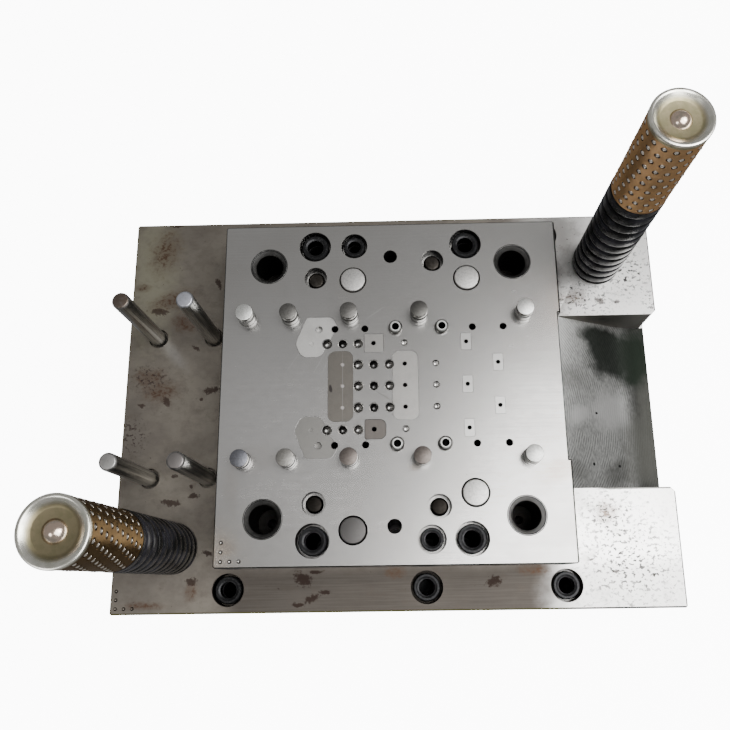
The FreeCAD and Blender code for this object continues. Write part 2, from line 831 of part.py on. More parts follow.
def cage_spring(place):
    """Flat-wound spring between shoe and cage, its two ends ground flat."""
    x, y = place
    low = shoe_top
    high = shoe_top + post_height - cage_length
    pitch = (high - low) / coil_turns
    wire_height = pitch - coil_gap
    path = Part.makeHelix(pitch, high - low + 2 * pitch, coil_outer_radius)
    section = Part.makePolygon([
        V(coil_inner_radius, 0, -wire_height / 2),
        V(coil_outer_radius - coil_crown, 0, -wire_height / 2),
        V(coil_outer_radius, 0, 0),
        V(coil_outer_radius - coil_crown, 0, wire_height / 2),
        V(coil_inner_radius, 0, wire_height / 2),
        V(coil_inner_radius, 0, -wire_height / 2),
    ])
    coil = Part.Wire(path.Edges).makePipeShell([section], True, True)
    coil.translate(V(x, y, low - pitch))
    room = cylinder(x, y, coil_outer_radius + overrun, low, high)
    return coil.common(room)


def post_cap(place):
    """Dished cap that keeps the cage on its post."""
    x, y = place
    low = shoe_top + post_height
    top = low + cap_thickness
    floor = top - cap_dish_depth
    return turned(x, y, [
        (cap_screw_radius + thread_clearance, low),
        (cap_radius - cap_edge, low),
        (cap_radius, low + cap_edge),
        (cap_radius, top - cap_edge),
        (cap_radius - cap_edge, top),
        (cap_rim_radius, top),
        (cap_floor_radius, floor),
        (cap_screw_radius + thread_clearance, floor),
    ])


def cap_screw(place):
    """Screw with a smooth domed head, in the floor of the cap."""
    x, y = place
    seat = shoe_top + post_height + cap_thickness - cap_dish_depth
    rise = cap_screw_head_height
    reach = cap_screw_head_radius
    sphere = (reach * reach + rise * rise) / (2 * rise)
    dome = Part.makeSphere(sphere, V(x, y, seat + rise - sphere))
    head = dome.common(cylinder(x, y, reach + overrun, seat, seat + rise + overrun))
    return head.fuse(cylinder(x, y, cap_screw_radius, seat - cap_screw_grip, seat)).removeSplitter()


def make_posts():
    for name, place in (("rear", rear_post), ("front", front_post)):
        write("guide_post_" + name, [guide_post(place)])
        write("ball_cage_" + name, [ball_cage(place)])
        write("cage_spring_" + name, [cage_spring(place)])
    write("post_caps", [post_cap(rear_post), post_cap(front_post)])
    write("cap_screws", [cap_screw(rear_post), cap_screw(front_post)])


outlines = insert_outlines()
make_risers()
make_shoe()
make_backing_plate()
make_die_plate(outlines)
make_inserts(outlines)
make_screws()
make_pins()
make_lifters()
make_posts()
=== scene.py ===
import json
import math

import bmesh
import bpy
from mathutils import Euler, Matrix, Vector


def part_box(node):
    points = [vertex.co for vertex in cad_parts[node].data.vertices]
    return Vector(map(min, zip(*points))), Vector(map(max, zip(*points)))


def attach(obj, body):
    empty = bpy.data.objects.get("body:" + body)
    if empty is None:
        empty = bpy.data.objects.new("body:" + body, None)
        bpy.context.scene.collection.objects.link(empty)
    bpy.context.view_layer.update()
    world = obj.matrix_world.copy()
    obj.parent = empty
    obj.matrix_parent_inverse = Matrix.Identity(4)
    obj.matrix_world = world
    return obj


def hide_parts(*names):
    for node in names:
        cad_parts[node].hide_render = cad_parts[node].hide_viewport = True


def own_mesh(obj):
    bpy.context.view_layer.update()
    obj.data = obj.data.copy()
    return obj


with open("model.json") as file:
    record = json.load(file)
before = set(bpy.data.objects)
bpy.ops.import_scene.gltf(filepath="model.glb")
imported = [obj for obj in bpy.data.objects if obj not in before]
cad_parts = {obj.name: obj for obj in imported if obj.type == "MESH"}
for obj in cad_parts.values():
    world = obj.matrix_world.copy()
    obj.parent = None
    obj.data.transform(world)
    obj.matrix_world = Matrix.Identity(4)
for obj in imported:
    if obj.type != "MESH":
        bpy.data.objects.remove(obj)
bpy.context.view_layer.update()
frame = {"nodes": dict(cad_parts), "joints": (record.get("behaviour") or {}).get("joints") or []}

# Lower half of a small progressive die set. Sizes are in millimetres, and each mesh is scaled to
# metres when it is finished.
METRE = 0.001
touching = 1e-3


def span(node, axis=2):
    """Where a CAD node begins and ends along an axis."""
    return [round(corner[axis] / METRE, 3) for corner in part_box(node)]


def centre(node):
    """Where the upright axis of a round CAD node stands."""
    low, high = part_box(node)
    return tuple(round((low[axis] + high[axis]) / 2 / METRE, 4) for axis in (0, 1))


# Levels
shoe_low, shoe_top = span("die_shoe")
backing_top = span("backing_plate")[1]
plate_top = span("die_plate")[1]
cage_low, cage_top = span("ball_cage_rear")
cap_top = span("post_caps")[1]
plug_top = span("lifter_plugs")[1]
lifter_low, lifter_top = span("strip_lifter_1")
pilot_low, pilot_top = span("pilot_lifter_1")
feed_pin_low, feed_pin_top = span("feed_pins")
dowel_low, dowel_top = span("dowel_pins")
disc_top = span("stop_discs")[1]

# Places of what repeats
shoe_half_x, shoe_half_y = [span("die_shoe", axis)[1] for axis in (0, 1)]
plate_half_x, plate_half_y = [span("die_plate", axis)[1] for axis in (0, 1)]
rear_post = centre("guide_post_rear")
front_post = centre("guide_post_front")
lifter_places = [centre("strip_lifter_%d" % number) for number in range(1, 11)]
pilot_places = [centre("pilot_lifter_%d" % number) for number in range(1, 5)]
feed_pin_places = [(x, y) for y in (45.0, -45.0) for x in (-151.0, -115.0)]
riser_screw_places = [(x, y) for y in (111.5, -111.5) for x in (-100.0, 18.0, 100.5)]
bush_places = [(x, y) for y in (74.2, -74.2) for x in (-72.5, 72.5)]
plate_screw_places = [(-45.0, 86.2), (45.0, 86.2), (-45.0, -86.2), (42.2, -86.2)]
small_screw_places = [(-21.5, 86.2), (20.3, -86.2)]
disc_places = [(-22.4, 64.5), (45.0, 64.5), (-22.8, -80.9), (45.0, -61.5)]
dowel_places = [(-44.5, 66.2), (25.0, 75.9), (-44.5, -66.2), (25.0, -68.5)]
station_pitch = 8.95
station_row = 12.65
first_station = -46.4
slot_insert_x = -28.5
chute_start = 104.0
chute_half_width = 55.0
shoe_dimples = (-150.0, -108.0)
plate_dimples = (-82.0, -82.0)
joint_travel = {joint["name"]: joint["range_m"][1] / METRE for joint in frame["joints"]}

# Turned parts
lifter_radius = 5.0
lifter_groove_radius = 3.6
lifter_head_height = 3.6
lifter_groove_height = 2.6
lifter_flange_radius = 6.5
pilot_radius = 4.0
pilot_hole = 2.0
pilot_flange_radius = 5.5
feed_pin_radius = 5.0
dowel_radius = 5.0
disc_radius = 7.25
bush_outer = 11.0
bush_bore = 8.0
bush_mouth = 2.4
post_radius = 12.5
post_sunk = 43.0
cage_inner = 13.0
cage_outer = 15.0
cage_rings = 10
ball_radius = 1.35
pocket_radius = 1.6
pocket_depth = 0.9
ball_pitch = 6.65
balls_per_ring = 16
ball_twist = 5.0
cap_radius = 15.2
cap_bore = 3.05
cap_dish = 2.4
cap_screw_radius = 3.0
cap_screw_length = 14.0
dome_radius = 5.25
dome_rise = 3.0
screw_head_recess = 1.5
draw_depth = 12.0

# Springs: inner and outer radius, turns, gap between them, crown of the wire and steps of a turn
cage_wire = (13.1, 15.3, 11, 1.5, 0.14, 40)
lifter_wire = (4.4, 6.4, 11, 1.4, 0.1, 20)
pilot_wire = (3.6, 5.4, 12, 1.2, 0.1, 20)


# Mesh building

def lathe(profile, steps=48, closed=False):
    """Turned shape about the vertical through the origin, from (radius, height) points."""
    bm = bmesh.new()
    ring = [bm.verts.new((r, 0, z)) for r, z in profile]
    edges = [bm.edges.new(pair) for pair in zip(ring, ring[1:])]
    if closed:
        edges.append(bm.edges.new((ring[-1], ring[0])))
    bmesh.ops.spin(bm, geom=ring + edges, cent=(0, 0, 0), axis=(0, 0, 1), angle=2 * math.pi, steps=steps,
                   use_merge=True)
    bmesh.ops.remove_doubles(bm, verts=bm.verts, dist=touching)
    bmesh.ops.recalc_face_normals(bm, faces=bm.faces)
    return bm


def sharp_edges(bm):
    """Edges that turn by more than a little."""
    limit = math.radians(25.0)
    return [edge for edge in bm.edges if len(edge.link_faces) == 2 and edge.calc_face_angle() > limit]


def bevelled(bm, edges, width, segments):
    """The mesh with some of its edges bevelled."""
    bmesh.ops.bevel(bm, geom=edges, offset=width, segments=segments, profile=0.5, affect="EDGES",
                    material=-1, clamp_overlap=True)
    return bm


def eased(bm, width):
    """Breaks every sharp edge with a small round."""
    return bevelled(bm, sharp_edges(bm), width, 2)


def shade(bm):
    """Smooth shading with creases kept."""
    limit = math.radians(32.0)
    for face in bm.faces:
        face.smooth = True
    for edge in bm.edges:
        edge.smooth = len(edge.link_faces) != 2 or edge.calc_face_angle() < limit


def copies(bm, matrices):
    """The same shape under each transform, in one mesh."""
    single = bpy.data.meshes.new("single")
    bm.to_mesh(single)
    bm.free()
    whole = bmesh.new()
    for matrix in matrices:
        count = len(whole.verts)
        whole.from_mesh(single)
        whole.verts.ensure_lookup_table()
        bmesh.ops.transform(whole, matrix=matrix, verts=whole.verts[count:])
    bpy.data.meshes.remove(single)
    return whole


def repeated(bm, places):
    """The same upright shape at each (x, y)."""
    return copies(bm, [Matrix.Translation((x, y, 0.0)) for x, y in places])


def piece(name, bm, material, body, nodes=()):
    """Finished piece in metres, riding on its body and standing for its nodes."""
    shade(bm)
    bmesh.ops.scale(bm, vec=(METRE, METRE, METRE), verts=bm.verts)
    mesh = bpy.data.meshes.new(name)
    bm.to_mesh(mesh)
    bm.free()
    mesh.materials.append(material)
    made = bpy.data.objects.new(name, mesh)
    bpy.context.scene.collection.objects.link(made)
    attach(made, body)
    if nodes:
        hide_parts(*nodes)
    return made


def merged_copy(node):
    """A node's mesh in millimetres, with its loose triangles joined and its flat areas made whole."""
    bm = bmesh.new()
    bm.from_mesh(frame["nodes"][node].data)
    bmesh.ops.scale(bm, vec=(1 / METRE, 1 / METRE, 1 / METRE), verts=bm.verts)
    bmesh.ops.remove_doubles(bm, verts=bm.verts, dist=touching)
    bmesh.ops.dissolve_limit(bm, angle_limit=math.radians(0.5), verts=bm.verts, edges=bm.edges)
    return bm


# Shading

class Amount:
    """A value that varies over a surface. Arithmetic on it adds Math nodes."""

    def __init__(self, finish, socket):
        self.finish = finish
        self.socket = socket

    def maths(self, operation, *values):
        return self.finish.node("ShaderNodeMath", {"operation": operation}, dict(enumerate(values)))

    def __add__(self, other):
        return self.maths("ADD", self, other)

    def __radd__(self, other):
        return self.maths("ADD", other, self)

    def __sub__(self, other):
        return self.maths("SUBTRACT", self, other)

    def __rsub__(self, other):
        return self.maths("SUBTRACT", other, self)

    def __mul__(self, other):
        return self.maths("MULTIPLY", self, other)

    def __rmul__(self, other):
        return self.maths("MULTIPLY", other, self)

    def larger(self, other):
        return self.maths("MAXIMUM", self, other)

    def smaller(self, other):
        return self.maths("MINIMUM", self, other)

    def size(self):
        return self.maths("ABSOLUTE", self)


class Finish:
    """A surface finish: one principled shader and the nodes that feed it."""

    def __init__(self, name, colour, metallic=1.0, fixed=None):
        self.material = bpy.data.materials.new(name)
        self.material.use_nodes = True
        self.tree = self.material.node_tree
        self.shader = self.tree.nodes["Principled BSDF"]
        self.plain = colour
        for label, value in {"Base Color": (*colour, 1.0), "Metallic": metallic, **(fixed or {})}.items():
            self.shader.inputs[label].default_value = value
        coordinates = self.tree.nodes.new("ShaderNodeTexCoord")
        self.place = self.node("ShaderNodeVectorMath", {"operation": "SCALE"},
                               {"Vector": Amount(self, coordinates.outputs["Object"]), "Scale": 1 / METRE})

    def node(self, kind, settings=None, inputs=None, output=0):
        """Adds a node: its settings first, then the values or links of its sockets."""
        made = self.tree.nodes.new(kind)
        for label, value in (settings or {}).items():
            setattr(made, label, value)
        for label, value in (inputs or {}).items():
            self.feed(made.inputs[label], value)
        return Amount(self, made.outputs[output])

    def feed(self, socket, value):
        """Links a varying value to a socket, or sets a plain one."""
        if isinstance(value, Amount):
            self.tree.links.new(value.socket, socket)
        else:
            socket.default_value = value

    def noise(self, size, detail=3.0, stretch=(1.0, 1.0, 1.0), shift=0.0, rough=0.55):
        """Cloudy pattern whose blobs are about size millimetres, longer along a stretched axis."""
        moved = self.node("ShaderNodeMapping", {}, {
            "Vector": self.place, "Location": (shift, shift, shift),
            "Scale": tuple(1 / (size * s) for s in stretch)})
        return self.node("ShaderNodeTexNoise", {}, {
            "Vector": moved, "Scale": 1.0, "Detail": detail, "Roughness": rough})

    def ramp(self, value, low, high):
        """0 below low, 1 above high, smooth between them; low may be the larger."""
        return self.node("ShaderNodeMapRange", {"interpolation_type": "SMOOTHSTEP"}, {
            "Value": value, "From Min": low, "From Max": high, "To Min": 0.0, "To Max": 1.0})

    def blend(self, factor, first, second):
        """First colour where factor is 0, second where it is 1."""
        colours = [value if isinstance(value, Amount) else (*value, 1.0) for value in (first, second)]
        return self.node("ShaderNodeMix", {"data_type": "RGBA"},
                         {"Factor": factor, 6: colours[0], 7: colours[1]}, output=2)

    def marks(self, ellipses, edge, soft=0.35):
        """1 inside any of some ragged ellipses, seen from above: middle, two half-lengths and turn."""
        nearest = None
        for x, y, half_x, half_y, turn in ellipses:
            moved = self.node("ShaderNodeMapping", {"vector_type": "TEXTURE"}, {
                "Vector": self.place, "Location": (x, y, 0.0), "Rotation": (0.0, 0.0, math.radians(turn)),
                "Scale": (half_x, half_y, 1e5)})
            reach = self.node("ShaderNodeVectorMath", {"operation": "LENGTH"}, {0: moved}, output=1)
            nearest = nearest.smaller(reach) if nearest else reach
        return self.ramp(nearest + edge, 1.0 + soft, 1.0 - soft)

    def layered(self, tone, *layers):
        """A tone with colours laid over it, each by its factor."""
        for factor, colour in layers:
            tone = self.blend(factor, tone, colour)
        return tone

    def around(self, place, radius):
        """1 within a radius of an upright axis."""
        return self.marks([(*place, radius, radius, 0.0)], 0.0, 0.05)

    def axis(self, index):
        """One coordinate of the surface, in millimetres."""
        return self.node("ShaderNodeSeparateXYZ", {}, {0: self.place}, output=index)

    def colour(self, *layers):
        """Lays colours over the plain one."""
        self.feed(self.shader.inputs["Base Color"], self.layered(self.plain, *layers))

    def roughness(self, value):
        self.feed(self.shader.inputs["Roughness"], value)

    def bump(self, height, strength=0.3, depth=0.05):
        """Relief of the surface; depth is its height in millimetres."""
        self.feed(self.shader.inputs["Normal"], self.node("ShaderNodeBump", {}, {
            "Height": height, "Strength": strength, "Distance": depth * METRE}))


def slope(finish):
    """Upward part of a face's direction: 1 where it is level, 0 on walls."""
    normal = finish.node("ShaderNodeNewGeometry", {}, {}, output=1)
    return finish.node("ShaderNodeSeparateXYZ", {}, {0: normal}, output=2)


def upward(finish):
    """1 on faces that look up, 0 on walls."""
    return finish.ramp(slope(finish), 0.5, 0.9)


def slanted(finish):
    """1 on chamfers and countersinks, 0 on level faces and walls."""
    tilt = slope(finish)
    return finish.ramp(tilt, 0.97, 0.88) * finish.ramp(tilt, 0.2, 0.45)


def down_holes(finish, level, fade=1.6):
    """1 on the walls of holes below a face, 0 above it."""
    return finish.ramp(finish.axis(2), level - 0.25, level - fade) * (1 - upward(finish))


def near_rim(finish, x, y):
    """1 beyond either distance from the middle, 0 well inside both."""
    return finish.ramp(finish.axis(0).size(), x - 0.8, x).larger(
        finish.ramp(finish.axis(1).size(), y - 0.8, y))


def in_corner(finish, x, y):
    """1 in the front left-hand corner, beyond x and y."""
    return finish.ramp(finish.axis(0), x + 2.0, x) * finish.ramp(finish.axis(1), y + 2.0, y)


def inside(finish, half_x, half_y):
    """1 within a plate's outline, 0 on its outer sides."""
    return (finish.ramp(finish.axis(0).size(), half_x - 0.3, half_x - 1.5)
            * finish.ramp(finish.axis(1).size(), half_y - 0.3, half_y - 1.5))


def toned(colour, factor):
    """A colour made darker or lighter."""
    return tuple(factor * channel for channel in colour)


def dowel_steel(name):
    """Ground dowels under a brown film of oil, nearly black at the front."""
    finish = Finish(name, (0.050, 0.045, 0.040))
    clouds = finish.noise(2.5, 3.0, shift=70.0)
    front = finish.ramp(finish.axis(1), 10.0, -10.0)
    finish.colour((finish.ramp(clouds, 0.40, 0.65), (0.030, 0.027, 0.023)),
                  (front * 0.75, (0.008, 0.007, 0.006)))
    finish.roughness(0.32 + 0.12 * clouds)
    finish.bump(clouds, 0.12, 0.03)
    return finish.material


def backing_steel_with_shade(name):
    """Ground backing plate; its top and the walls of its holes under the die plate are painted black as
    shade.
    """
    finish = Finish(name, (0.40, 0.385, 0.365))
    lines = finish.noise(0.9, 2.0, (60.0, 1.0, 1.0), 40.0)
    # Painted shade under the die plate
    painted_shade_under = inside(finish, plate_half_x - 0.8, plate_half_y - 0.8)
    finish.colour((finish.ramp(lines, 0.35, 0.70), (0.30, 0.285, 0.27)),
                  (painted_shade_under * 0.97, (0.012, 0.011, 0.010)))
    finish.roughness(0.40 + 0.10 * lines + 0.15 * painted_shade_under)
    return finish.material


# Marks on the top faces, some of them painted light or painted shade: middle, two half-lengths and turn in
# degrees
plate_smears = [
    (-75, -40, 11, 7, 10), (-91, -89, 5, 5, 0), (92, -50, 11, 6, 20),
    (-90, -55, 4, 12, 0), (12, -47, 3, 2, 0)]
plate_scratches = [
    (-4.6, -6.4, 6.8, 0.28, -32), (2.4, -13.6, 3.9, 0.28, -74), (-50.5, -41, 0.8, 0.7, 0)]
plate_streaks = [
    (-42, 14, 6.5, 0.35, 61), (-57, 15, 8, 0.35, 56), (-38.5, 12, 5, 0.3, 66),
    (27, 35, 7, 0.3, 24), (-9, 44, 6, 0.3, 35)]
# Painted pool of light on the left part of the plate
plate_painted_light = [(-80, -25, 60, 60, 0)]


def die_plate_steel(name):
    """Top plate of the die: finely ground, with faint clouds, brown smears and scratches; painted shade
    darkens its edges, its dimples and the walls of its holes, and a painted pool of light brightens its left
    part.
    """
    finish = Finish(name, (0.57, 0.56, 0.54))
    lines = finish.noise(0.8, 2.0, (70.0, 1.0, 1.0), 0.0)
    clouds = finish.noise(48.0, 3.0, shift=3.0)
    mottle = finish.noise(3.4, 3.0, (1.6, 1.0, 1.0), 12.0)
    grit = finish.noise(0.7, 2.0, shift=7.0)
    ragged = 1.5 * (finish.noise(7.0, 4.0, shift=19.0) - 0.5)
    # Chamfers near the rim and in the dimpled corner, and the right edge, carry painted shade
    edge_tint_and_shade = near_rim(finish, plate_half_x - 2.6, plate_half_y - 0.8).larger(in_corner(finish, *plate_dimples))
    right_edge = finish.ramp(finish.axis(0), plate_half_x - 1.1, plate_half_x - 0.8)
    edge_tint_and_shade = (edge_tint_and_shade * slanted(finish)).larger(right_edge)
    shade_down = down_holes(finish, plate_top) * inside(finish, plate_half_x, plate_half_y)
    finish.colour(
        (finish.ramp(clouds + 0.2 * lines, 0.42, 0.80), (0.49, 0.475, 0.455)),
        (finish.ramp(mottle, 0.42, 0.75) * 0.30, (0.44, 0.425, 0.41)),
        (finish.ramp(lines, 0.40, 0.62) * 0.09, (0.40, 0.39, 0.375)),
        (finish.marks(plate_smears, ragged, 0.6) * 0.45, (0.36, 0.30, 0.24)),
        (finish.marks(plate_streaks, 0.3 * ragged, 0.6) * 0.5, (0.70, 0.69, 0.67)),
        (finish.marks(plate_scratches, 0.3 * ragged, 0.6) * 0.7, (0.22, 0.20, 0.18)),
        # Painted light on the left part of the plate
        (finish.marks(plate_painted_light, 0.0, 0.9) * 0.65, (0.80, 0.785, 0.765)),
        # Painted shade on the edges and down the holes
        (edge_tint_and_shade * 0.95, (0.022, 0.020, 0.018)), (shade_down * 0.96, (0.015, 0.015, 0.015)))
    finish.roughness(0.155 + 0.08 * clouds + 0.06 * mottle + 0.05 * lines + 0.25 * shade_down)
    finish.bump(lines + 0.9 * grit, 0.09, 0.02)
    return finish.material


rust_clouds = [
    (-150, 105, 8, 13, -15), (-144, 71, 12, 5, 20), (-135, 55, 7, 5, -20),
    (-148, 10, 10, 6, 0), (-155, 19, 8, 5, 0), (-164, 80, 4.6, 2.2, 0),
    (-1, -103, 5.5, 2.4, 0), (82, -102.5, 7.5, 2.6, 0), (127, -69, 6, 6, 30),
    (118, 68, 7, 4, 0), (-150, -120, 10, 1.8, 0), (-122, -112, 3, 5, 0)]
dark_marks = [
    (-152, 63, 6, 2, -8), (-115.5, 10, 4.4, 1.9, 12), (-121.5, 4.5, 1.1, 1, 0),
    (-143.5, 3.5, 1.9, 2.8, 25), (-159, 1, 2, 1.5, 0), (-126, 38, 2.8, 1.1, -30),
    (-113.5, 82, 1.6, 3.4, 20), (-137, -60, 5, 1.9, -8), (-136, -44, 2, 1.2, 20),
    (-123, -56, 3.2, 1.3, 0), (-125, -50, 1, 1.4, 0), (-122, -106.5, 3.2, 2.1, 0),
    (-113.5, -90, 2.4, 1.6, -20), (-56, -106, 4.6, 3.6, -25), (-47.5, -101.8, 3.8, 0.9, 0),
    (-50, -117, 4.8, 1.7, 25), (-42, -113.5, 3.2, 1.1, 0), (-58, -120.5, 3, 1.1, 0),
    (58, -108.5, 4.2, 2.4, 10), (116, -97, 1.6, 0.7, 25), (129, -104, 2, 1.4, 0),
    (134.5, 65, 2.9, 1.8, -10), (145, 64, 2.1, 1.2, 0), (-143, 124, 4.2, 1.2, 0)]
pit_clouds = [
    (-163, -18, 7, 8.5, 0), (-155, 18, 9, 7, 0), (129, -74, 16, 15, 0),
    (155, -106, 7, 6, 0), (139, -96, 26, 26, 0), (154, 84, 14, 14, 0),
    (166, 64, 4, 8, 0), (125, 67, 18, 9, 0)]
wiped_places = [(-142, 36, 12, 3.4, -50)]
light_places = [(-158, 92, 14, 40, 0)]
# Painted shade on the shoe beside the rear right part of the die plate
painted_shade_places = [(110, 112, 15, 20, 0), (104, 80, 8, 26, 0)]
chute_oil = [
    (146, 34, 22, 17, -15), (160, 34, 16, 20, 0), (139, 46, 18, 7, 0)]
chute_shade = [
    (162, -28, 15, 24, 15), (149, -41, 16, 9, 20), (168, 5, 7, 30, 0)]
# Painted shade, fainter than chute_shade
chute_dim_shade = [(113, 16, 11, 8, 0), (112, -44, 8, 6, 0)]
chute_rubbed = [(139, -5, 12, 12, -20), (118, -8, 8, 5, 30)]
chute_dots = [
    (130, -6, 0.9, 0.7, 0), (144, -39, 0.8, 0.8, 0), (125, -39, 0.8, 1, 0)]


def shoe_steel(name):
    """Milled shoe, kept under oil: brown film at the left and front, bare and pitted at the right; painted
    shade darkens its walls, the walls of its holes and the shoe beside the die plate.
    """
    finish = Finish(name, (0.225, 0.203, 0.172), fixed={"Specular Tint": (0.45, 0.43, 0.40, 1.0)})
    lines = finish.noise(1.0, 2.0, (40.0, 1.0, 1.0), 2.0)
    clouds = finish.noise(38.0, 4.0, shift=11.0)
    blotches = finish.noise(4.5, 4.0, (1.5, 1.0, 1.0), 91.0, 0.65)
    ragged = 1.7 * (finish.noise(5.5, 5.0, shift=29.0, rough=0.68) - 0.5)
    frayed = 3.4 * (finish.noise(2.3, 4.0, shift=53.0, rough=0.72) - 0.5)
    across = finish.axis(0)
    back = finish.axis(1)
    level = upward(finish)

    front = finish.ramp(back + 14.0 * (clouds - 0.5), -92.0, -106.0) * finish.ramp(across, -112.0, -92.0)
    bare = finish.ramp(across + 40.0 * (clouds - 0.5), 78.0, 112.0)
    grime = finish.ramp(finish.noise(9.0, 5.0, shift=61.0, rough=0.7), 0.52, 0.74)
    flecks = finish.ramp(finish.noise(1.9, 4.0, (1.3, 1.0, 1.0), 77.0, 0.7), 0.47, 0.60)
    rust = level * finish.marks(rust_clouds, ragged, 0.8)
    drops = finish.ramp(finish.noise(2.6, 4.0, shift=47.0, rough=0.7), 0.68, 0.73) * (1 - bare)
    spots = level * finish.marks(dark_marks, frayed, 0.3).larger(drops * 0.8)
    grains = finish.ramp(finish.noise(2.1, 3.0, (1.2, 1.0, 1.0), 5.0, 0.62), 0.548, 0.580)
    scattered = finish.ramp(finish.noise(2.1, 3.0, (1.2, 1.0, 1.0), 83.0, 0.62), 0.660, 0.69)
    clustered = grains * finish.marks(pit_clouds, 1.4 * ragged, 0.9) * 0.95
    pits = level * clustered.larger(scattered * bare * 0.85)

    edge_tint_and_shade = slanted(finish) * finish.ramp(finish.axis(2), shoe_top - 3.0, shoe_top - 1.5)
    edge = finish.blend(finish.ramp(across, 90.0, 120.0), (0.27, 0.25, 0.11), (0.045, 0.042, 0.036))
    dimples = in_corner(finish, *shoe_dimples) * (1 - near_rim(finish, shoe_half_x - 1.5, shoe_half_y - 1.5))
    lip = (finish.ramp(back + chute_half_width, -1.1, -0.8) * finish.ramp(back + chute_half_width, 1.0, 0.4)
           * finish.ramp(across, 118.0, 130.0))
    chute = (finish.ramp(across, chute_start - 0.5, chute_start + 0.5)
             * finish.ramp(back.size(), chute_half_width + 0.6, chute_half_width)
             * finish.ramp(finish.axis(2), shoe_top - 0.02, shoe_top - 0.3))
    # Painted shade on the walls of the holes
    deep = down_holes(finish, shoe_top) * inside(finish, shoe_half_x, shoe_half_y) * (1 - chute)
    finish.colour(
        (finish.ramp(clouds, 0.35, 0.70), (0.170, 0.152, 0.132)),
        (finish.ramp(blotches, 0.40, 0.66) * 0.30, (0.125, 0.108, 0.092)),
        (front * 0.9, (0.074, 0.065, 0.057)),
        (front * finish.ramp(lines, 0.40, 0.62) * 0.35, (0.12, 0.108, 0.096)),
        (finish.marks(wiped_places, ragged, 0.9) * 0.35, (0.34, 0.33, 0.32)),
        (finish.marks(light_places, ragged, 0.9) * 0.7, (0.34, 0.325, 0.24)),
        (bare, (0.83, 0.815, 0.79)),
        # Painted shade beside the die plate
        (finish.marks(painted_shade_places, 0.5 * ragged, 0.7) * 0.85, (0.26, 0.248, 0.235)),
        (grime * 0.35, (0.10, 0.082, 0.068)),
        (rust * (0.48 + 0.45 * flecks), (0.098, 0.058, 0.037)),
        (spots * 0.80, (0.040, 0.025, 0.020)),
        (pits, finish.blend(bare, (0.050, 0.036, 0.032), (0.010, 0.008, 0.007))),
        # Painted shade on the walls
        (finish.ramp(slope(finish), 0.5, 0.1) * 0.7, (0.070, 0.061, 0.047)),
        (edge_tint_and_shade * near_rim(finish, shoe_half_x - 1.1, shoe_half_y - 1.1) * 0.85, edge),
        (edge_tint_and_shade * dimples * 0.9, (0.03, 0.025, 0.02)),
        (lip * 0.9, (0.03, 0.03, 0.025)),
        (chute * finish.ramp(slope(finish), 0.2, 0.4), chute_floor(finish, frayed)),
        (deep * 0.95, (0.018, 0.018, 0.018)))
    finish.roughness(0.42 - 0.12 * bare + 0.10 * clouds + 0.12 * spots + 0.12 * front + 0.10 * chute
                     + 0.16 * chute * finish.ramp(across, 146.0, 158.0))
    finish.bump(lines + 0.6 * blotches - 1.5 * pits - 0.6 * spots, 0.25, 0.05)
    return finish.material


def chute_floor(finish, frayed):
    """Milled floor of the exit chute: faint cutter arcs, rubbed in the middle, dark with oil at the rear;
    painted shade darkens its steep right part and some patches.
    """
    reach = finish.node("ShaderNodeVectorMath", {"operation": "LENGTH"}, {
        0: finish.node("ShaderNodeMapping", {"vector_type": "TEXTURE"}, {
            "Vector": finish.place, "Location": (52.0, -6.0, 0.0), "Scale": (1.0, 1.0, 1e5)})}, output=1)
    wander = finish.noise(9.0, 3.0, shift=33.0)
    ripple = reach * 3.9 + 7.0 * wander
    arcs = finish.ramp(wander, 0.38, 0.62) * 0.24 * ripple.maths("SINE", ripple)
    hatch = finish.noise(1.1, 4.0, (1.0, 2.6, 1.0), 71.0, 0.65)
    broad = 1.2 * (finish.noise(13.0, 4.0, shift=37.0, rough=0.6) - 0.5)
    return finish.layered(
        (0.26, 0.26, 0.25), (finish.ramp(hatch + arcs, 0.30, 0.72), (0.48, 0.48, 0.465)),
        # Painted shade on the steep right part
        (finish.ramp(finish.axis(0), 143.0, 162.0) * 0.93, (0.014, 0.014, 0.012)),
        (finish.marks(chute_rubbed, broad, 0.6) * 0.75, (0.60, 0.595, 0.58)),
        # Faint painted shade
        (finish.marks(chute_dim_shade, broad, 0.7) * 0.45, (0.12, 0.12, 0.11)),
        (finish.marks(chute_shade, broad, 0.45) * 0.60, (0.075, 0.075, 0.067)),
        (finish.marks(chute_oil, broad, 0.4) * 0.92, (0.014, 0.019, 0.014)),
        (finish.marks(chute_dots, 0.3 * frayed, 0.3), (0.02, 0.02, 0.02)))


def polished_steel(name, colour, roughness, seed, grain=0.0):
    """Hardened and polished steel with light handling marks."""
    finish = Finish(name, colour)
    smears = finish.noise(3.0, 3.0, (1.0, 1.0, 3.0), seed)
    finish.colour((finish.ramp(smears, 0.45, 0.75), toned(colour, 0.72)))
    finish.roughness(roughness + 0.16 * smears)
    if grain:
        finish.bump(finish.noise(0.7, 2.0, shift=seed + 5), grain, 0.05)
    return finish.material


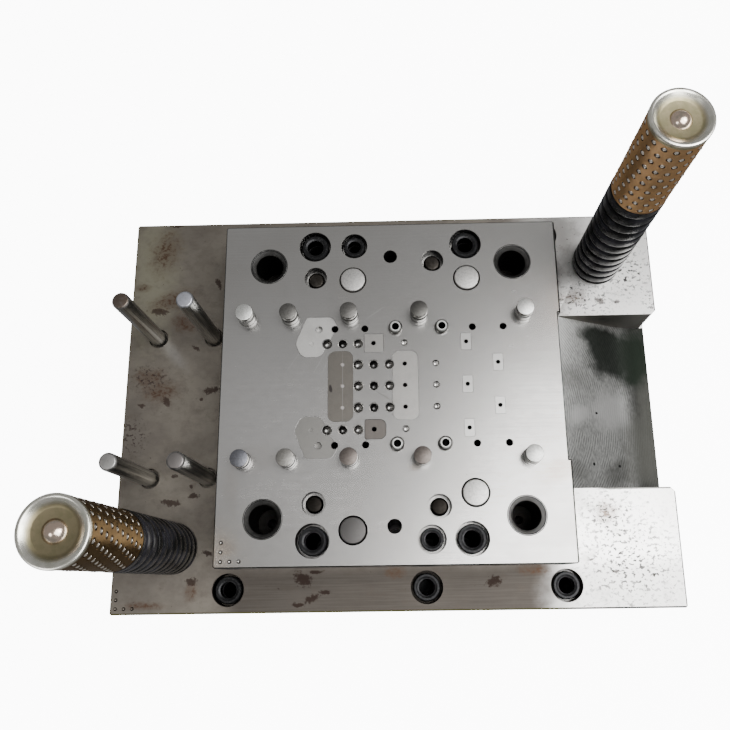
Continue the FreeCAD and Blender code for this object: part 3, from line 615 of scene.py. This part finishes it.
def bush_steel(name):
    """Honed bushes, grey at the mouth and painted black as shade down the bore; the front right one is
    bright.
    """
    finish = Finish(name, (0.150, 0.148, 0.143))
    smears = finish.noise(3.0, 3.0, shift=2.0)
    outline = slanted(finish) * finish.ramp(finish.axis(2), plate_top - 0.42, plate_top - 0.3)
    # Painted shade down the bore
    bore = finish.ramp(finish.axis(2), plate_top - 2.15, plate_top - 2.6)
    finish.colour(
        (finish.ramp(smears, 0.40, 0.70), (0.105, 0.103, 0.10)),
        (finish.around(bush_places[3], 13.0) * 0.8, (0.56, 0.55, 0.54)),
        (outline * 0.95, (0.012, 0.012, 0.012)), (bore * 0.98, (0.010, 0.010, 0.009)))
    finish.roughness(0.30 + 0.12 * smears + 0.20 * bore)
    return finish.material


def frosted_disc(name):
    """Stop discs with a fine satin top; the front left one is duller."""
    finish = Finish(name, (0.60, 0.59, 0.565))
    grain = finish.noise(0.8, 3.0, shift=9.0, rough=0.65)
    dull = finish.around(disc_places[2], 9.0)
    finish.colour((finish.ramp(grain, 0.35, 0.72), (0.39, 0.38, 0.37)), (dull, (0.098, 0.094, 0.091)))
    finish.roughness(0.38 + 0.10 * grain + 0.05 * dull)
    finish.bump(grain, 0.2, 0.03)
    return finish.material


def feed_pin_steel(name):
    """Polished pins: dark bands along the shafts, each end face with its own film."""
    finish = Finish(name, (0.33, 0.335, 0.32))
    bands = finish.noise(1.1, 2.0, (1.0, 1.0, 60.0), 6.0)
    smears = finish.noise(2.4, 3.0, shift=16.0)
    first, *others = (0.17, 0.135, 0.11), (0.66, 0.67, 0.74), (0.52, 0.51, 0.49), (0.27, 0.25, 0.24)
    ends = [(finish.around(place, 9.0), film) for place, film in zip(feed_pin_places[1:], others)]
    face = finish.layered(first, *ends, (finish.ramp(smears, 0.42, 0.70) * 0.35, (0.25, 0.23, 0.22)))
    finish.colour((finish.ramp(bands, 0.40, 0.66), (0.15, 0.15, 0.145)), (upward(finish), face))
    finish.roughness(0.27 + 0.10 * smears + 0.04 * upward(finish))
    return finish.material


def lifter_steel(name, head, seed):
    """Polished lifter with a head worn to a fine crackle; only the top face has it."""
    finish = Finish(name, (0.13, 0.127, 0.12))
    top = upward(finish)
    crackle = finish.noise(0.8, 3.0, shift=seed, rough=0.65)
    finish.colour((top, finish.blend(finish.ramp(crackle, 0.35, 0.70), head, toned(head, 0.70))))
    finish.roughness(0.11 + 0.30 * top + 0.08 * crackle)
    finish.bump(crackle * top, 0.35, 0.05)
    return finish.material


def black_oxide(name):
    """Blackened screws and plugs, dusted grey."""
    finish = Finish(name, (0.011, 0.011, 0.012), metallic=0.7)
    grit = finish.noise(0.9, 3.0, shift=3.0)
    finish.colour((finish.ramp(grit, 0.50, 0.80), (0.055, 0.055, 0.053)))
    finish.roughness(0.28 + 0.20 * grit)
    finish.bump(grit, 0.25, 0.05)
    return finish.material


def spring_black(name):
    """Black spring enamel, rubbed along the coils, with violet patches of painted sheen."""
    finish = Finish(name, (0.007, 0.007, 0.007), metallic=0.0, fixed={"Specular IOR Level": 0.06})
    rubs = finish.noise(2.4, 3.0, (3.0, 3.0, 1.0), 9.0)
    violet = finish.noise(11.0, 2.0, shift=4.0)
    # Painted sheen in violet patches
    finish.colour((finish.ramp(violet, 0.42, 0.66), (0.022, 0.0215, 0.026)),
                  (finish.ramp(rubs, 0.66, 0.84) * 0.4, (0.08, 0.08, 0.085)))
    finish.roughness(0.20 + 0.16 * rubs)
    return finish.material


def cage_brass(name, colour, grazing):
    """Brass sleeve of a ball cage, browned by old oil; grazing is its colour seen along the surface."""
    finish = Finish(name, colour, fixed={"Specular Tint": (*grazing, 1.0)})
    streaks = finish.noise(3.0, 3.0, (4.0, 4.0, 0.6), 13.0)
    patches = finish.noise(14.0, 3.0, shift=29.0)
    finish.colour((finish.ramp(patches, 0.35, 0.68), toned(colour, 0.78)),
                  (finish.ramp(streaks, 0.58, 0.82) * 0.5, toned(colour, 1.25)))
    finish.roughness(0.28 + 0.20 * streaks)
    finish.bump(streaks, 0.12, 0.05)
    return finish.material


def pocket_shade(name):
    """Painted shade in the ball pockets, near-black brown."""
    finish = Finish(name, (0.022, 0.014, 0.009), metallic=0.3, fixed={"Roughness": 0.35})
    finish.colour((finish.noise(2.0, 2.0, shift=41.0), (0.05, 0.028, 0.014)))
    return finish.material


def zinc_plate(name):
    """Yellow-green zinc plate of the caps, polished on the rim and dull on the floor, darker at the front."""
    finish = Finish(name, (0.40, 0.345, 0.215))
    haze = finish.noise(4.0, 3.0, shift=8.0)
    depth = finish.ramp(finish.axis(2), cap_top - 2.2, cap_top - 0.6)
    rim = finish.blend(finish.ramp(haze, 0.35, 0.70), (0.86, 0.84, 0.76), (0.70, 0.69, 0.60))
    front = finish.around(front_post, 20.0) * (1 - depth)
    finish.colour((finish.ramp(haze, 0.35, 0.65), (0.31, 0.28, 0.165)), (depth, rim),
                  (front * 0.55, (0.085, 0.070, 0.040)))
    finish.roughness(0.38 - 0.18 * depth + 0.08 * haze)
    finish.bump(finish.noise(0.8, 2.0, shift=2.0), 0.1, 0.03)
    return finish.material


def copper_dome(name):
    """Smooth rosy head of the cap screws."""
    finish = Finish(name, (0.80, 0.63, 0.51))
    film = finish.noise(3.2, 3.0, shift=21.0)
    finish.colour((finish.ramp(film, 0.40, 0.64), (0.60, 0.52, 0.43)))
    finish.roughness(0.12 + 0.12 * film)
    return finish.material


def carbide_insert(name, light, dark, roughness, seed, edge, lines=(), dots=(), chips=()):
    """Inserts of other steel and carbide let flush into the plate: cloudy, with a fine even grain.
    Edge is the grey of their broken edges; lines, dots and chips are marks on the top."""
    finish = Finish(name, light)
    clouds = finish.noise(9.0, 4.0, shift=seed)
    grain = finish.noise(0.9, 2.0, shift=seed + 3)
    ragged = 0.9 * (finish.noise(2.0, 3.0, shift=seed + 5) - 0.5)
    layers = [(finish.ramp(clouds + 0.3 * grain, 0.50, 0.88), dark)]
    if lines:
        layers += [(finish.marks(lines, 0.2 * ragged, 0.5) * 0.3, (0.52, 0.50, 0.48)),
                   (finish.marks(dots, 0.2 * ragged, 0.5) * 0.9, (0.66, 0.62, 0.60)),
                   (finish.marks(chips, ragged, 0.3) * 0.85, (0.045, 0.04, 0.04))]
    finish.colour(*layers, (slanted(finish), (edge, edge, edge)),
                  # Painted shade down the holes
                  (down_holes(finish, plate_top) * 0.96, (0.015, 0.015, 0.015)))
    finish.roughness(roughness - 0.04 + 0.10 * clouds)
    finish.bump(grain, 0.12, 0.03)
    return finish.material


def pale_floor(name):
    """Bright pale floor that glows evenly, with a painted shadow under the shoe, where its glow is black."""
    finish = Finish(name, (0.92, 0.92, 0.92), metallic=0.0,
                    fixed={"Roughness": 0.9, "Emission Strength": 10.0})
    finish.colour((finish.noise(300.0, 2.0), (0.94, 0.94, 0.94)))
    # Painted shadow under the shoe
    painted_shade_under = (finish.ramp(finish.axis(0).size(), shoe_half_x, shoe_half_x - 12.0)
               * finish.ramp(finish.axis(1).size(), shoe_half_y, shoe_half_y - 12.0))
    shine = finish.blend(painted_shade_under, (1.0, 1.0, 1.0), (0.0, 0.0, 0.0))
    finish.feed(finish.shader.inputs["Emission Color"], shine)
    return finish.material


shoe_finish = shoe_steel("shoe_steel")
plate_finish = die_plate_steel("plate_steel")
backing_finish = backing_steel_with_shade("backing_steel")
slot_lines = [(slot_insert_x, 0.0, 0.2, 19.0, 0.0)]
slot_dots = [(slot_insert_x, y, 0.95, 0.95, 0.0) for y in (station_row, 0.0, -station_row)]
slot_chips = [(-35.4, -1.5, 0.9, 2.2, 10.0)]
pale_insert = carbide_insert("pale_insert", (0.66, 0.65, 0.625), (0.54, 0.53, 0.51), 0.40, 3.0, 0.30)
mottled_insert = carbide_insert("mottled_insert", (0.51, 0.495, 0.47), (0.43, 0.415, 0.395), 0.31, 63.0, 0.38)
light_insert = carbide_insert("light_insert", (0.63, 0.62, 0.60), (0.56, 0.55, 0.53), 0.28, 83.0, 0.10)
grey_insert = carbide_insert("grey_insert", (0.34, 0.33, 0.31), (0.29, 0.28, 0.265), 0.34, 23.0, 0.62)
brown_insert = carbide_insert("brown_insert", (0.225, 0.208, 0.185), (0.185, 0.172, 0.155), 0.33, 43.0, 0.10,
                              slot_lines, slot_dots, slot_chips)
dark_insert = carbide_insert("dark_insert", (0.17, 0.155, 0.142), (0.14, 0.126, 0.115), 0.36, 53.0, 0.12)
bush_finish = bush_steel("bush_steel")
dowel_finish = dowel_steel("dowel_steel")
disc_finish = frosted_disc("disc_steel")
pin_finish = feed_pin_steel("pin_steel")
post_finish = polished_steel("post_steel", (0.46, 0.45, 0.43), 0.22, 6.0, 0.06)
ball_finish = polished_steel("ball_steel", (0.80, 0.75, 0.67), 0.12, 1.0)
oxide_finish = black_oxide("black_oxide")
spring_finish = spring_black("spring_black")
# The front cage is a darker copy of the same brass, as painted shade
cage_finishes = {"rear": cage_brass("cage_brass", (0.52, 0.33, 0.18), (0.90, 0.70, 0.50)),
                 "front": cage_brass("cage_brass_shaded", (0.138, 0.095, 0.046), (0.60, 0.54, 0.50))}
pocket_finish = pocket_shade("pocket_shade")
cap_finish = zinc_plate("zinc_plate")
dome_finish = copper_dome("copper_dome")
bright_head = lifter_steel("bright_lifter", (0.72, 0.72, 0.69), 2.0)
grey_head = lifter_steel("grey_lifter", (0.165, 0.16, 0.15), 12.0)
brown_head = lifter_steel("brown_lifter", (0.155, 0.135, 0.122), 22.0)
blue_head = lifter_steel("blue_lifter", (0.19, 0.193, 0.213), 32.0)
light_head = lifter_steel("light_lifter", (0.29, 0.28, 0.26), 42.0)
dim_head = lifter_steel("dim_lifter", (0.115, 0.112, 0.104), 52.0)


# Plates, with the edges of their holes broken

def rim_edges(bm, level):
    """Edges between a plate's top face and the walls of its holes, level with the top."""
    found = []
    for edge in bm.edges:
        if len(edge.link_faces) != 2 or max(abs(v.co.z - level) for v in edge.verts) > touching:
            continue
        slopes = sorted(abs(face.normal.z) for face in edge.link_faces)
        if slopes[0] < 0.1 and slopes[1] > 0.99:
            found.append(edge)
    return found


def plate(node, material, level, rim):
    """A plate or plug of the CAD as it is, with the edges of its holes broken by rim."""
    bm = merged_copy(node)
    if rim:
        bevelled(bm, rim_edges(bm, level), rim, 1)
    return piece(node + "_dressed", bm, material, "die_set", [node])


for node, material, level, rim, slot in (
        ("die_shoe", shoe_finish, shoe_top, 0.4, "shoe_steel"),
        ("backing_plate", backing_finish, backing_top, 0.0, "ground_steel"),
        ("die_plate", plate_finish, plate_top, 0.3, "ground_steel"),
        ("riser_rear", shoe_finish, shoe_low, 0.0, "shoe_steel"),
        ("riser_front", shoe_finish, shoe_low, 0.0, "shoe_steel"),
        ("pear_insert_rear", pale_insert, plate_top, 0.25, "insert_light"),
        ("pear_insert_front", grey_insert, plate_top, 0.25, "insert_grey"),
        ("slot_insert", brown_insert, plate_top, 0.25, "insert_dark"),
        ("bar_insert", mottled_insert, plate_top, 0.25, "insert_light"),
        ("square_insert", mottled_insert, plate_top, 0.25, "insert_light"),
        ("dee_insert", dark_insert, plate_top, 0.25, "insert_dark"),
        ("button_inserts", light_insert, plate_top, 0.25, "insert_light")):
    plate(node, material, level, rim)


# Bottoms of the draws

def draw_bottom(radius, lip):
    """Ejector that closes a draw, its polished end hollowed like a bowl."""
    mouth = plate_top - lip
    bowl = [math.radians(a) for a in (8, 22, 36, 50, 64, 78, 90)]
    return lathe([(0, plate_top - draw_depth), (radius, plate_top - draw_depth), (radius, mouth)]
                 + [(radius * math.cos(a), mouth - 0.75 * radius * math.sin(a)) for a in bowl], 32)


# The deeper middle draws get a darker copy of the same steel, as painted shade
bright_bowl = polished_steel("draw_steel", (0.25, 0.245, 0.235), 0.22, 31.0)
shaded_bowl = polished_steel("draw_steel_shaded", (0.12, 0.118, 0.115), 0.22, 35.0)
for name, step, radius, lip, material in (
        ("first", 1, 2.55, 3.4, bright_bowl), ("middle", 2, 2.3, 4.8, shaded_bowl),
        ("last", 3, 2.4, 3.4, bright_bowl)):
    outer_x = first_station + step * station_pitch
    inner_x = outer_x + 2 * station_pitch
    centres = [(outer_x, 2 * station_row), (outer_x, -2 * station_row)]
    centres += [(inner_x, y) for y in (station_row, 0.0, -station_row)]
    piece("draw_ejectors_" + name, repeated(draw_bottom(radius, lip), centres), material, "die_set")


# Screws

def ring_edges(bm, level, outermost):
    """The open edges at a level, no further out than the given radius."""
    return [edge for edge in bm.edges if edge.is_boundary
            and all(abs(v.co.z - level) < touching and v.co.xy.length < outermost for v in edge.verts)]


def socket_screw(size, head_top, shank_end):
    """Cap screw about the origin; its hexagon socket ends in a drilled cone."""
    chamfer = 0.06 * size
    radius = 0.8 * size
    seat = head_top - size
    corner = 0.78 * size / math.sqrt(3)
    recess = corner + 0.03 * size
    low = head_top - 0.05 * size
    socket_top = low - 0.02 * size
    bm = lathe([
        (0, shank_end), (size / 2 - chamfer, shank_end), (size / 2, shank_end + chamfer), (size / 2, seat),
        (radius, seat), (radius, head_top - chamfer), (radius - chamfer, head_top),
        (recess + 0.14 * size, head_top), (recess + 0.10 * size, head_top - 0.03 * size), (recess, low),
    ])
    bmesh.ops.create_circle(bm, cap_ends=False, radius=corner, segments=6,
                            matrix=Matrix.Translation((0, 0, socket_top)))
    hexagon = ring_edges(bm, socket_top, corner + 0.1)
    bmesh.ops.bridge_loops(bm, edges=ring_edges(bm, low, recess + 0.1) + hexagon)
    hexagon = ring_edges(bm, socket_top, corner + 0.1)
    walls = bmesh.ops.extrude_edge_only(bm, edges=hexagon)["geom"]
    corners = [item for item in walls if isinstance(item, bmesh.types.BMVert)]
    bmesh.ops.translate(bm, verts=corners, vec=(0, 0, -0.45 * size))
    floor = bmesh.ops.contextual_create(bm, geom=corners)["faces"]
    bmesh.ops.poke(bm, faces=floor, offset=-0.1 * size)
    bmesh.ops.recalc_face_normals(bm, faces=bm.faces)
    return bm


def screws(name, size, surface, shank_end, places):
    """Screws of one size, their heads sunk a little below a surface."""
    bm = repeated(socket_screw(size, surface - screw_head_recess, shank_end), places)
    return piece(name + "_dressed", bm, oxide_finish, "die_set", [name])


screws("plate_screws", 10.0, plate_top, shoe_top - 22.0, plate_screw_places)
screws("small_plate_screws", 8.0, plate_top, shoe_top - 16.0, small_screw_places)
screws("riser_screws", 10.0, shoe_top, shoe_low - 20.0, riser_screw_places)


# Pins, discs and bushes

def round_bar(radius, low, high, chamfer):
    """Bar with both ends chamfered."""
    return lathe([(0, low), (radius - chamfer, low), (radius, low + chamfer), (radius, high - chamfer),
                  (radius - chamfer, high), (0, high)])


def guide_bush():
    """Bush with a wide countersunk mouth."""
    return lathe([
        (bush_bore, backing_top), (bush_outer, backing_top), (bush_outer, plate_top - 0.3),
        (bush_outer - 0.3, plate_top), (bush_bore + bush_mouth, plate_top),
        (bush_bore, plate_top - bush_mouth),
    ], 64, closed=True)


feed_pin = round_bar(feed_pin_radius, feed_pin_low, feed_pin_top, 1.0)
dowel = round_bar(dowel_radius, dowel_low, dowel_top, 1.0)
disc = round_bar(disc_radius, backing_top, disc_top, 0.4)
for node, shape, places, width, material, slot in (
        ("feed_pins", feed_pin, feed_pin_places, 0.15, pin_finish, "pin_steel"),
        ("dowel_pins", dowel, dowel_places, 0.15, dowel_finish, "dowel_steel"),
        ("stop_discs", disc, disc_places, 0.1, disc_finish, "disc_steel"),
        ("guide_bushes", guide_bush(), bush_places, 0.12, bush_finish, "bush_steel")):
    piece(node + "_dressed", eased(repeated(shape, places), width), material, "die_set", [node])


# Lifters with their coil springs

def strip_lifter():
    """Round lifter with a groove for the strip's edge and a flange that stops it under the die plate."""
    groove_top = lifter_top - lifter_head_height
    groove_low = groove_top - lifter_groove_height
    return lathe([
        (0, lifter_low), (lifter_flange_radius, lifter_low), (lifter_flange_radius, backing_top),
        (lifter_radius, backing_top), (lifter_radius, groove_low - 0.5), (lifter_radius - 0.5, groove_low),
        (lifter_groove_radius, groove_low), (lifter_groove_radius, groove_top),
        (lifter_radius - 0.2, groove_top), (lifter_radius, groove_top + 0.2),
        (lifter_radius, lifter_top - 0.5), (lifter_radius - 0.15, lifter_top - 0.15),
        (lifter_radius - 0.5, lifter_top), (0, lifter_top),
    ])


def pilot_lifter():
    """Hollow lifter about a pilot's hole, with a rounded top and the same kind of flange."""
    return lathe([
        (pilot_hole, pilot_low), (pilot_flange_radius, pilot_low), (pilot_flange_radius, backing_top),
        (pilot_radius, backing_top), (pilot_radius, pilot_top - 1.3), (pilot_radius - 0.35, pilot_top - 0.6),
        (pilot_radius - 1.2, pilot_top), (pilot_hole + 0.25, pilot_top), (pilot_hole, pilot_top - 0.25),
    ], closed=True)


def coil(wire, low, high):
    """Spring wound from flat wire with a crowned outside, its ends ground flat."""
    inner, outer, turns, gap, crown, steps = wire
    pitch = (high - low) / turns
    half = (pitch - gap) / 2
    section = [
        (inner, -half), (outer - 4 * crown, -half), (outer - crown, -0.86 * half), (outer, -0.60 * half),
        (outer, 0.60 * half), (outer - crown, 0.86 * half), (outer - 4 * crown, half), (inner, half),
    ]
    bm = bmesh.new()
    ring = [bm.verts.new((r, 0, z + low - pitch)) for r, z in section]
    edges = [bm.edges.new((ring[i - 1], ring[i])) for i in range(len(ring))]
    bmesh.ops.spin(bm, geom=ring + edges, cent=(0, 0, 0), axis=(0, 0, 1), angle=2 * math.pi * (turns + 2),
                   steps=steps * (turns + 2), dvec=(0, 0, pitch / steps), use_merge=False)
    for level, side in ((low, -1), (high, 1)):
        bmesh.ops.bisect_plane(bm, geom=bm.verts[:] + bm.edges[:] + bm.faces[:], plane_co=(0, 0, level),
                               plane_no=(0, 0, side), clear_outer=True)
    bmesh.ops.holes_fill(bm, edges=[edge for edge in bm.edges if edge.is_boundary])
    bmesh.ops.recalc_face_normals(bm, faces=bm.faces)
    return bm


def spring(name, place, wire, joint, low, high, node):
    """A coil spring wound between two levels, with a mesh of its own."""
    wound = repeated(coil(wire, low, high), [place])
    made = piece(name, wound, spring_finish, "die_set", [node])
    place[0] * METRE
    place[1] * METRE
    (high - low - joint_travel[joint]) / (high - low)
    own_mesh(made)


lifter_heads = [bright_head, grey_head, grey_head, dim_head, bright_head,
                blue_head, light_head, brown_head, brown_head, bright_head]
pilot_heads = [bright_head] * len(pilot_places)
for kind, node, shape, low, wire, places, heads in (
        ("lifter", "strip_lifter_%d", strip_lifter, lifter_low, lifter_wire, lifter_places, lifter_heads),
        ("pilot", "pilot_lifter_%d", pilot_lifter, pilot_low, pilot_wire, pilot_places, pilot_heads)):
    for number, (place, head) in enumerate(zip(places, heads), 1):
        piece(node % number + "_dressed", repeated(shape(), [place]), head, "%s_%d" % (kind, number),
              [node % number])
        spring("%s_coil_%d" % (kind, number), place, wire, "%s_slide_%d" % (kind, number), plug_top, low,
               "%s_spring_%d" % (kind, number))
for node in ("lifter_plugs", "pilot_plugs"):
    plate(node, oxide_finish, plug_top, 0.0)


# Guide posts, ball cages, cage springs and caps

def cage_cells(phase):
    """Turn in degrees and level of each ball pocket: rings turned a little against the one above."""
    first = cage_top - (cage_top - cage_low - (cage_rings - 1) * ball_pitch) / 2
    return [(phase - ring * ball_twist + k * 360.0 / balls_per_ring, first - ring * ball_pitch)
            for ring in range(cage_rings) for k in range(balls_per_ring)]


def on_sleeve(bm, turn, level, radius=cage_outer):
    """A vertex at a turn in degrees and a level of the sleeve."""
    angle = math.radians(turn)
    return bm.verts.new((radius * math.cos(angle), radius * math.sin(angle), level))


def band(bm, first, second, shift=0):
    """Quads between two loops of as many vertices."""
    count = len(first)
    return [bm.faces.new((first[i], first[(i + 1) % count], second[(i + 1 + shift) % count],
                          second[(i + shift) % count])) for i in range(count)]


def ball_cage(phase):
    """Sleeve of the cage with a pocket for each ball; the pockets are the second material."""
    bm = bmesh.new()
    step = 360.0 / balls_per_ring
    border = [(1, 0), (1, 0.5), (1, 1), (0.5, 1), (0, 1), (-0.5, 1), (-1, 1), (-1, 0.5)]
    border += [(-u, -v) for u, v in border]
    corners = [math.radians(22.5 * i) for i in range(16)]
    for turn, level in cage_cells(phase):
        loop = [on_sleeve(bm, turn + u * step / 2 + v * ball_twist / 2, level + v * ball_pitch / 2)
                for u, v in border]
        for width, sunk, pocket in ((pocket_radius + 0.16, 0.0, 0), (pocket_radius, 0.12, 0),
                                    (pocket_radius, pocket_depth, 1)):
            inner = [on_sleeve(bm, turn + math.degrees(width * math.cos(a) / cage_outer),
                               level + width * math.sin(a), cage_outer - sunk) for a in corners]
            for face in band(bm, loop, inner):
                face.material_index = pocket
            loop = inner
        bm.faces.new(loop).material_index = 1
    cells = cage_cells(phase)
    quarter = step / 4
    count = 4 * balls_per_ring
    ends = []
    for (turn, level), side, end in ((cells[0], 1, cage_top), (cells[-balls_per_ring], -1, cage_low)):
        start = turn - step / 2 + side * ball_twist / 2
        turns = [start + i * quarter for i in range(count)]
        loops = [[on_sleeve(bm, t, z, r) for t in turns] for r, z in (
            (cage_outer, level + side * ball_pitch / 2), (cage_outer, end - side * 0.4),
            (cage_outer - 0.4, end), (cage_inner, end))]
        for first, second in zip(loops, loops[1:]):
            band(bm, first, second)
        ends.append(loops[-1])
    band(bm, ends[0], ends[1], round(cage_rings * ball_twist / quarter))
    bmesh.ops.remove_doubles(bm, verts=bm.verts, dist=touching)
    bmesh.ops.recalc_face_normals(bm, faces=bm.faces)
    return bm


def cage_balls(phase):
    """Outer halves of the balls, each seated on the post."""
    arc = [math.radians(a) for a in (0, 14, 28, 42, 56, 70, 84)]
    ball = lathe([(ball_radius * math.sin(a), ball_radius * math.cos(a)) for a in arc], 12)
    reach = post_radius + 0.01 + ball_radius
    out = Matrix.Translation((reach, 0, 0)) @ Matrix.Rotation(math.pi / 2, 4, "Y")
    return copies(ball, [Matrix.Translation((0, 0, level)) @ Matrix.Rotation(math.radians(turn), 4, "Z") @ out
                         for turn, level in cage_cells(phase)])


def post_cap():
    """Dished cap: rolled rim, sloping wall, flat floor with a bore for its screw."""
    floor = cap_top - cap_dish
    return lathe([
        (cap_bore, cage_top), (cap_radius - 0.5, cage_top), (cap_radius - 0.1, cage_top + 0.2),
        (cap_radius, cage_top + 0.6), (cap_radius, cap_top - 0.7), (cap_radius - 0.2, cap_top - 0.2),
        (cap_radius - 0.7, cap_top), (13.9, cap_top), (13.4, cap_top - 0.12), (12.8, cap_top - 0.5),
        (11.6, cap_top - 1.4), (10.6, floor + 0.42), (9.8, floor + 0.1), (9.3, floor), (cap_bore, floor),
    ], 96, closed=True)


def cap_screw():
    """Low domed head on a plain shank."""
    seat = cap_top - cap_dish
    foot = seat - cap_screw_length
    sphere = (dome_radius ** 2 + dome_rise ** 2) / (2 * dome_rise)
    middle = seat + dome_rise - sphere
    widest = math.asin(dome_radius / sphere)
    dome = [(sphere * math.sin(widest * i / 8), middle + sphere * math.cos(widest * i / 8))
            for i in range(8, -1, -1)]
    return lathe([(0, foot), (cap_screw_radius, foot), (cap_screw_radius, seat)] + dome)


for side, place, phase in (("rear", rear_post, -76.0), ("front", front_post, -60.0)):
    post = eased(round_bar(post_radius, shoe_top - post_sunk, cage_top, 1.0), 0.2)
    piece("guide_post_%s_dressed" % side, repeated(post, [place]), post_finish, "die_set",
          ["guide_post_" + side])
    sleeve = piece("ball_cage_%s_dressed" % side, repeated(ball_cage(phase), [place]), cage_finishes[side],
                   "cage_" + side, ["ball_cage_" + side])
    sleeve.data.materials.append(pocket_finish)
    piece("cage_balls_" + side, repeated(cage_balls(phase), [place]), ball_finish, "cage_" + side)
    spring("cage_spring_%s_dressed" % side, place, cage_wire, "cage_slide_" + side, shoe_top, cage_low,
           "cage_spring_" + side)
both_posts = [rear_post, front_post]
piece("post_caps_dressed", repeated(post_cap(), both_posts), cap_finish, "die_set", ["post_caps"])
piece("cap_screws_dressed", repeated(cap_screw(), both_posts), dome_finish, "die_set", ["cap_screws"])


# Camera, floor and lights

photo_pixels = 730.0


def view_from(position, turn, focal, principal):
    """Camera turned by three angles in degrees; focal length and principal point are in photo pixels."""
    data = bpy.data.cameras.new("camera")
    camera = bpy.data.objects.new("camera", data)
    bpy.context.scene.collection.objects.link(camera)
    data.sensor_width = 36.0
    data.lens = focal * data.sensor_width / photo_pixels
    data.shift_x = (photo_pixels / 2 - principal[0]) / photo_pixels
    data.shift_y = (principal[1] - photo_pixels / 2) / photo_pixels
    data.clip_start = 0.01
    data.clip_end = 20.0
    turned = Euler([math.radians(angle) for angle in turn]).to_matrix().to_4x4()
    camera.matrix_world = Matrix.Translation(Vector(position) * METRE) @ turned
    bpy.context.scene.camera = camera


def soft_light(name, position, target, size, power):
    """Square or oblong lamp in metres, aimed at a target."""
    data = bpy.data.lights.new(name, "AREA")
    data.shape = "RECTANGLE"
    data.size, data.size_y = size
    data.energy = power
    lamp = bpy.data.objects.new(name, data)
    bpy.context.scene.collection.objects.link(lamp)
    lamp.location = position
    lamp.rotation_euler = (Vector(target) - Vector(position)).to_track_quat("-Z", "Y").to_euler()


view_from((4.460, -108.183, 609.102), (15.992, 1.234, -0.794), 818.756, (385.595, 347.107))

ground = bmesh.new()
bmesh.ops.create_grid(ground, x_segments=1, y_segments=1, size=12.0)
floor_mesh = bpy.data.meshes.new("floor")
ground.to_mesh(floor_mesh)
ground.free()
floor_mesh.materials.append(pale_floor("pale_floor"))
floor_piece = bpy.data.objects.new("floor", floor_mesh)
bpy.context.scene.collection.objects.link(floor_piece)
floor_piece.visible_glossy = False
floor_piece.visible_diffuse = False

soft_light("key", (0.60, -0.28, 1.65), (0.05, 0.0, 0.1), (1.1, 1.1), 29.0)
soft_light("side", (1.05, 0.12, 1.65), (0.05, 0.0, 0.1), (0.8, 0.7), 13.0)
soft_light("left", (-0.90, -0.72, 1.65), (0.0, 0.0, 0.1), (0.5, 0.5), 3.5)

world = bpy.data.worlds.new("studio")
world.use_nodes = True
world.node_tree.nodes["Background"].inputs["Color"].default_value = (1.0, 1.0, 1.0, 1.0)
world.node_tree.nodes["Background"].inputs["Strength"].default_value = 0.31
bpy.context.scene.world = world
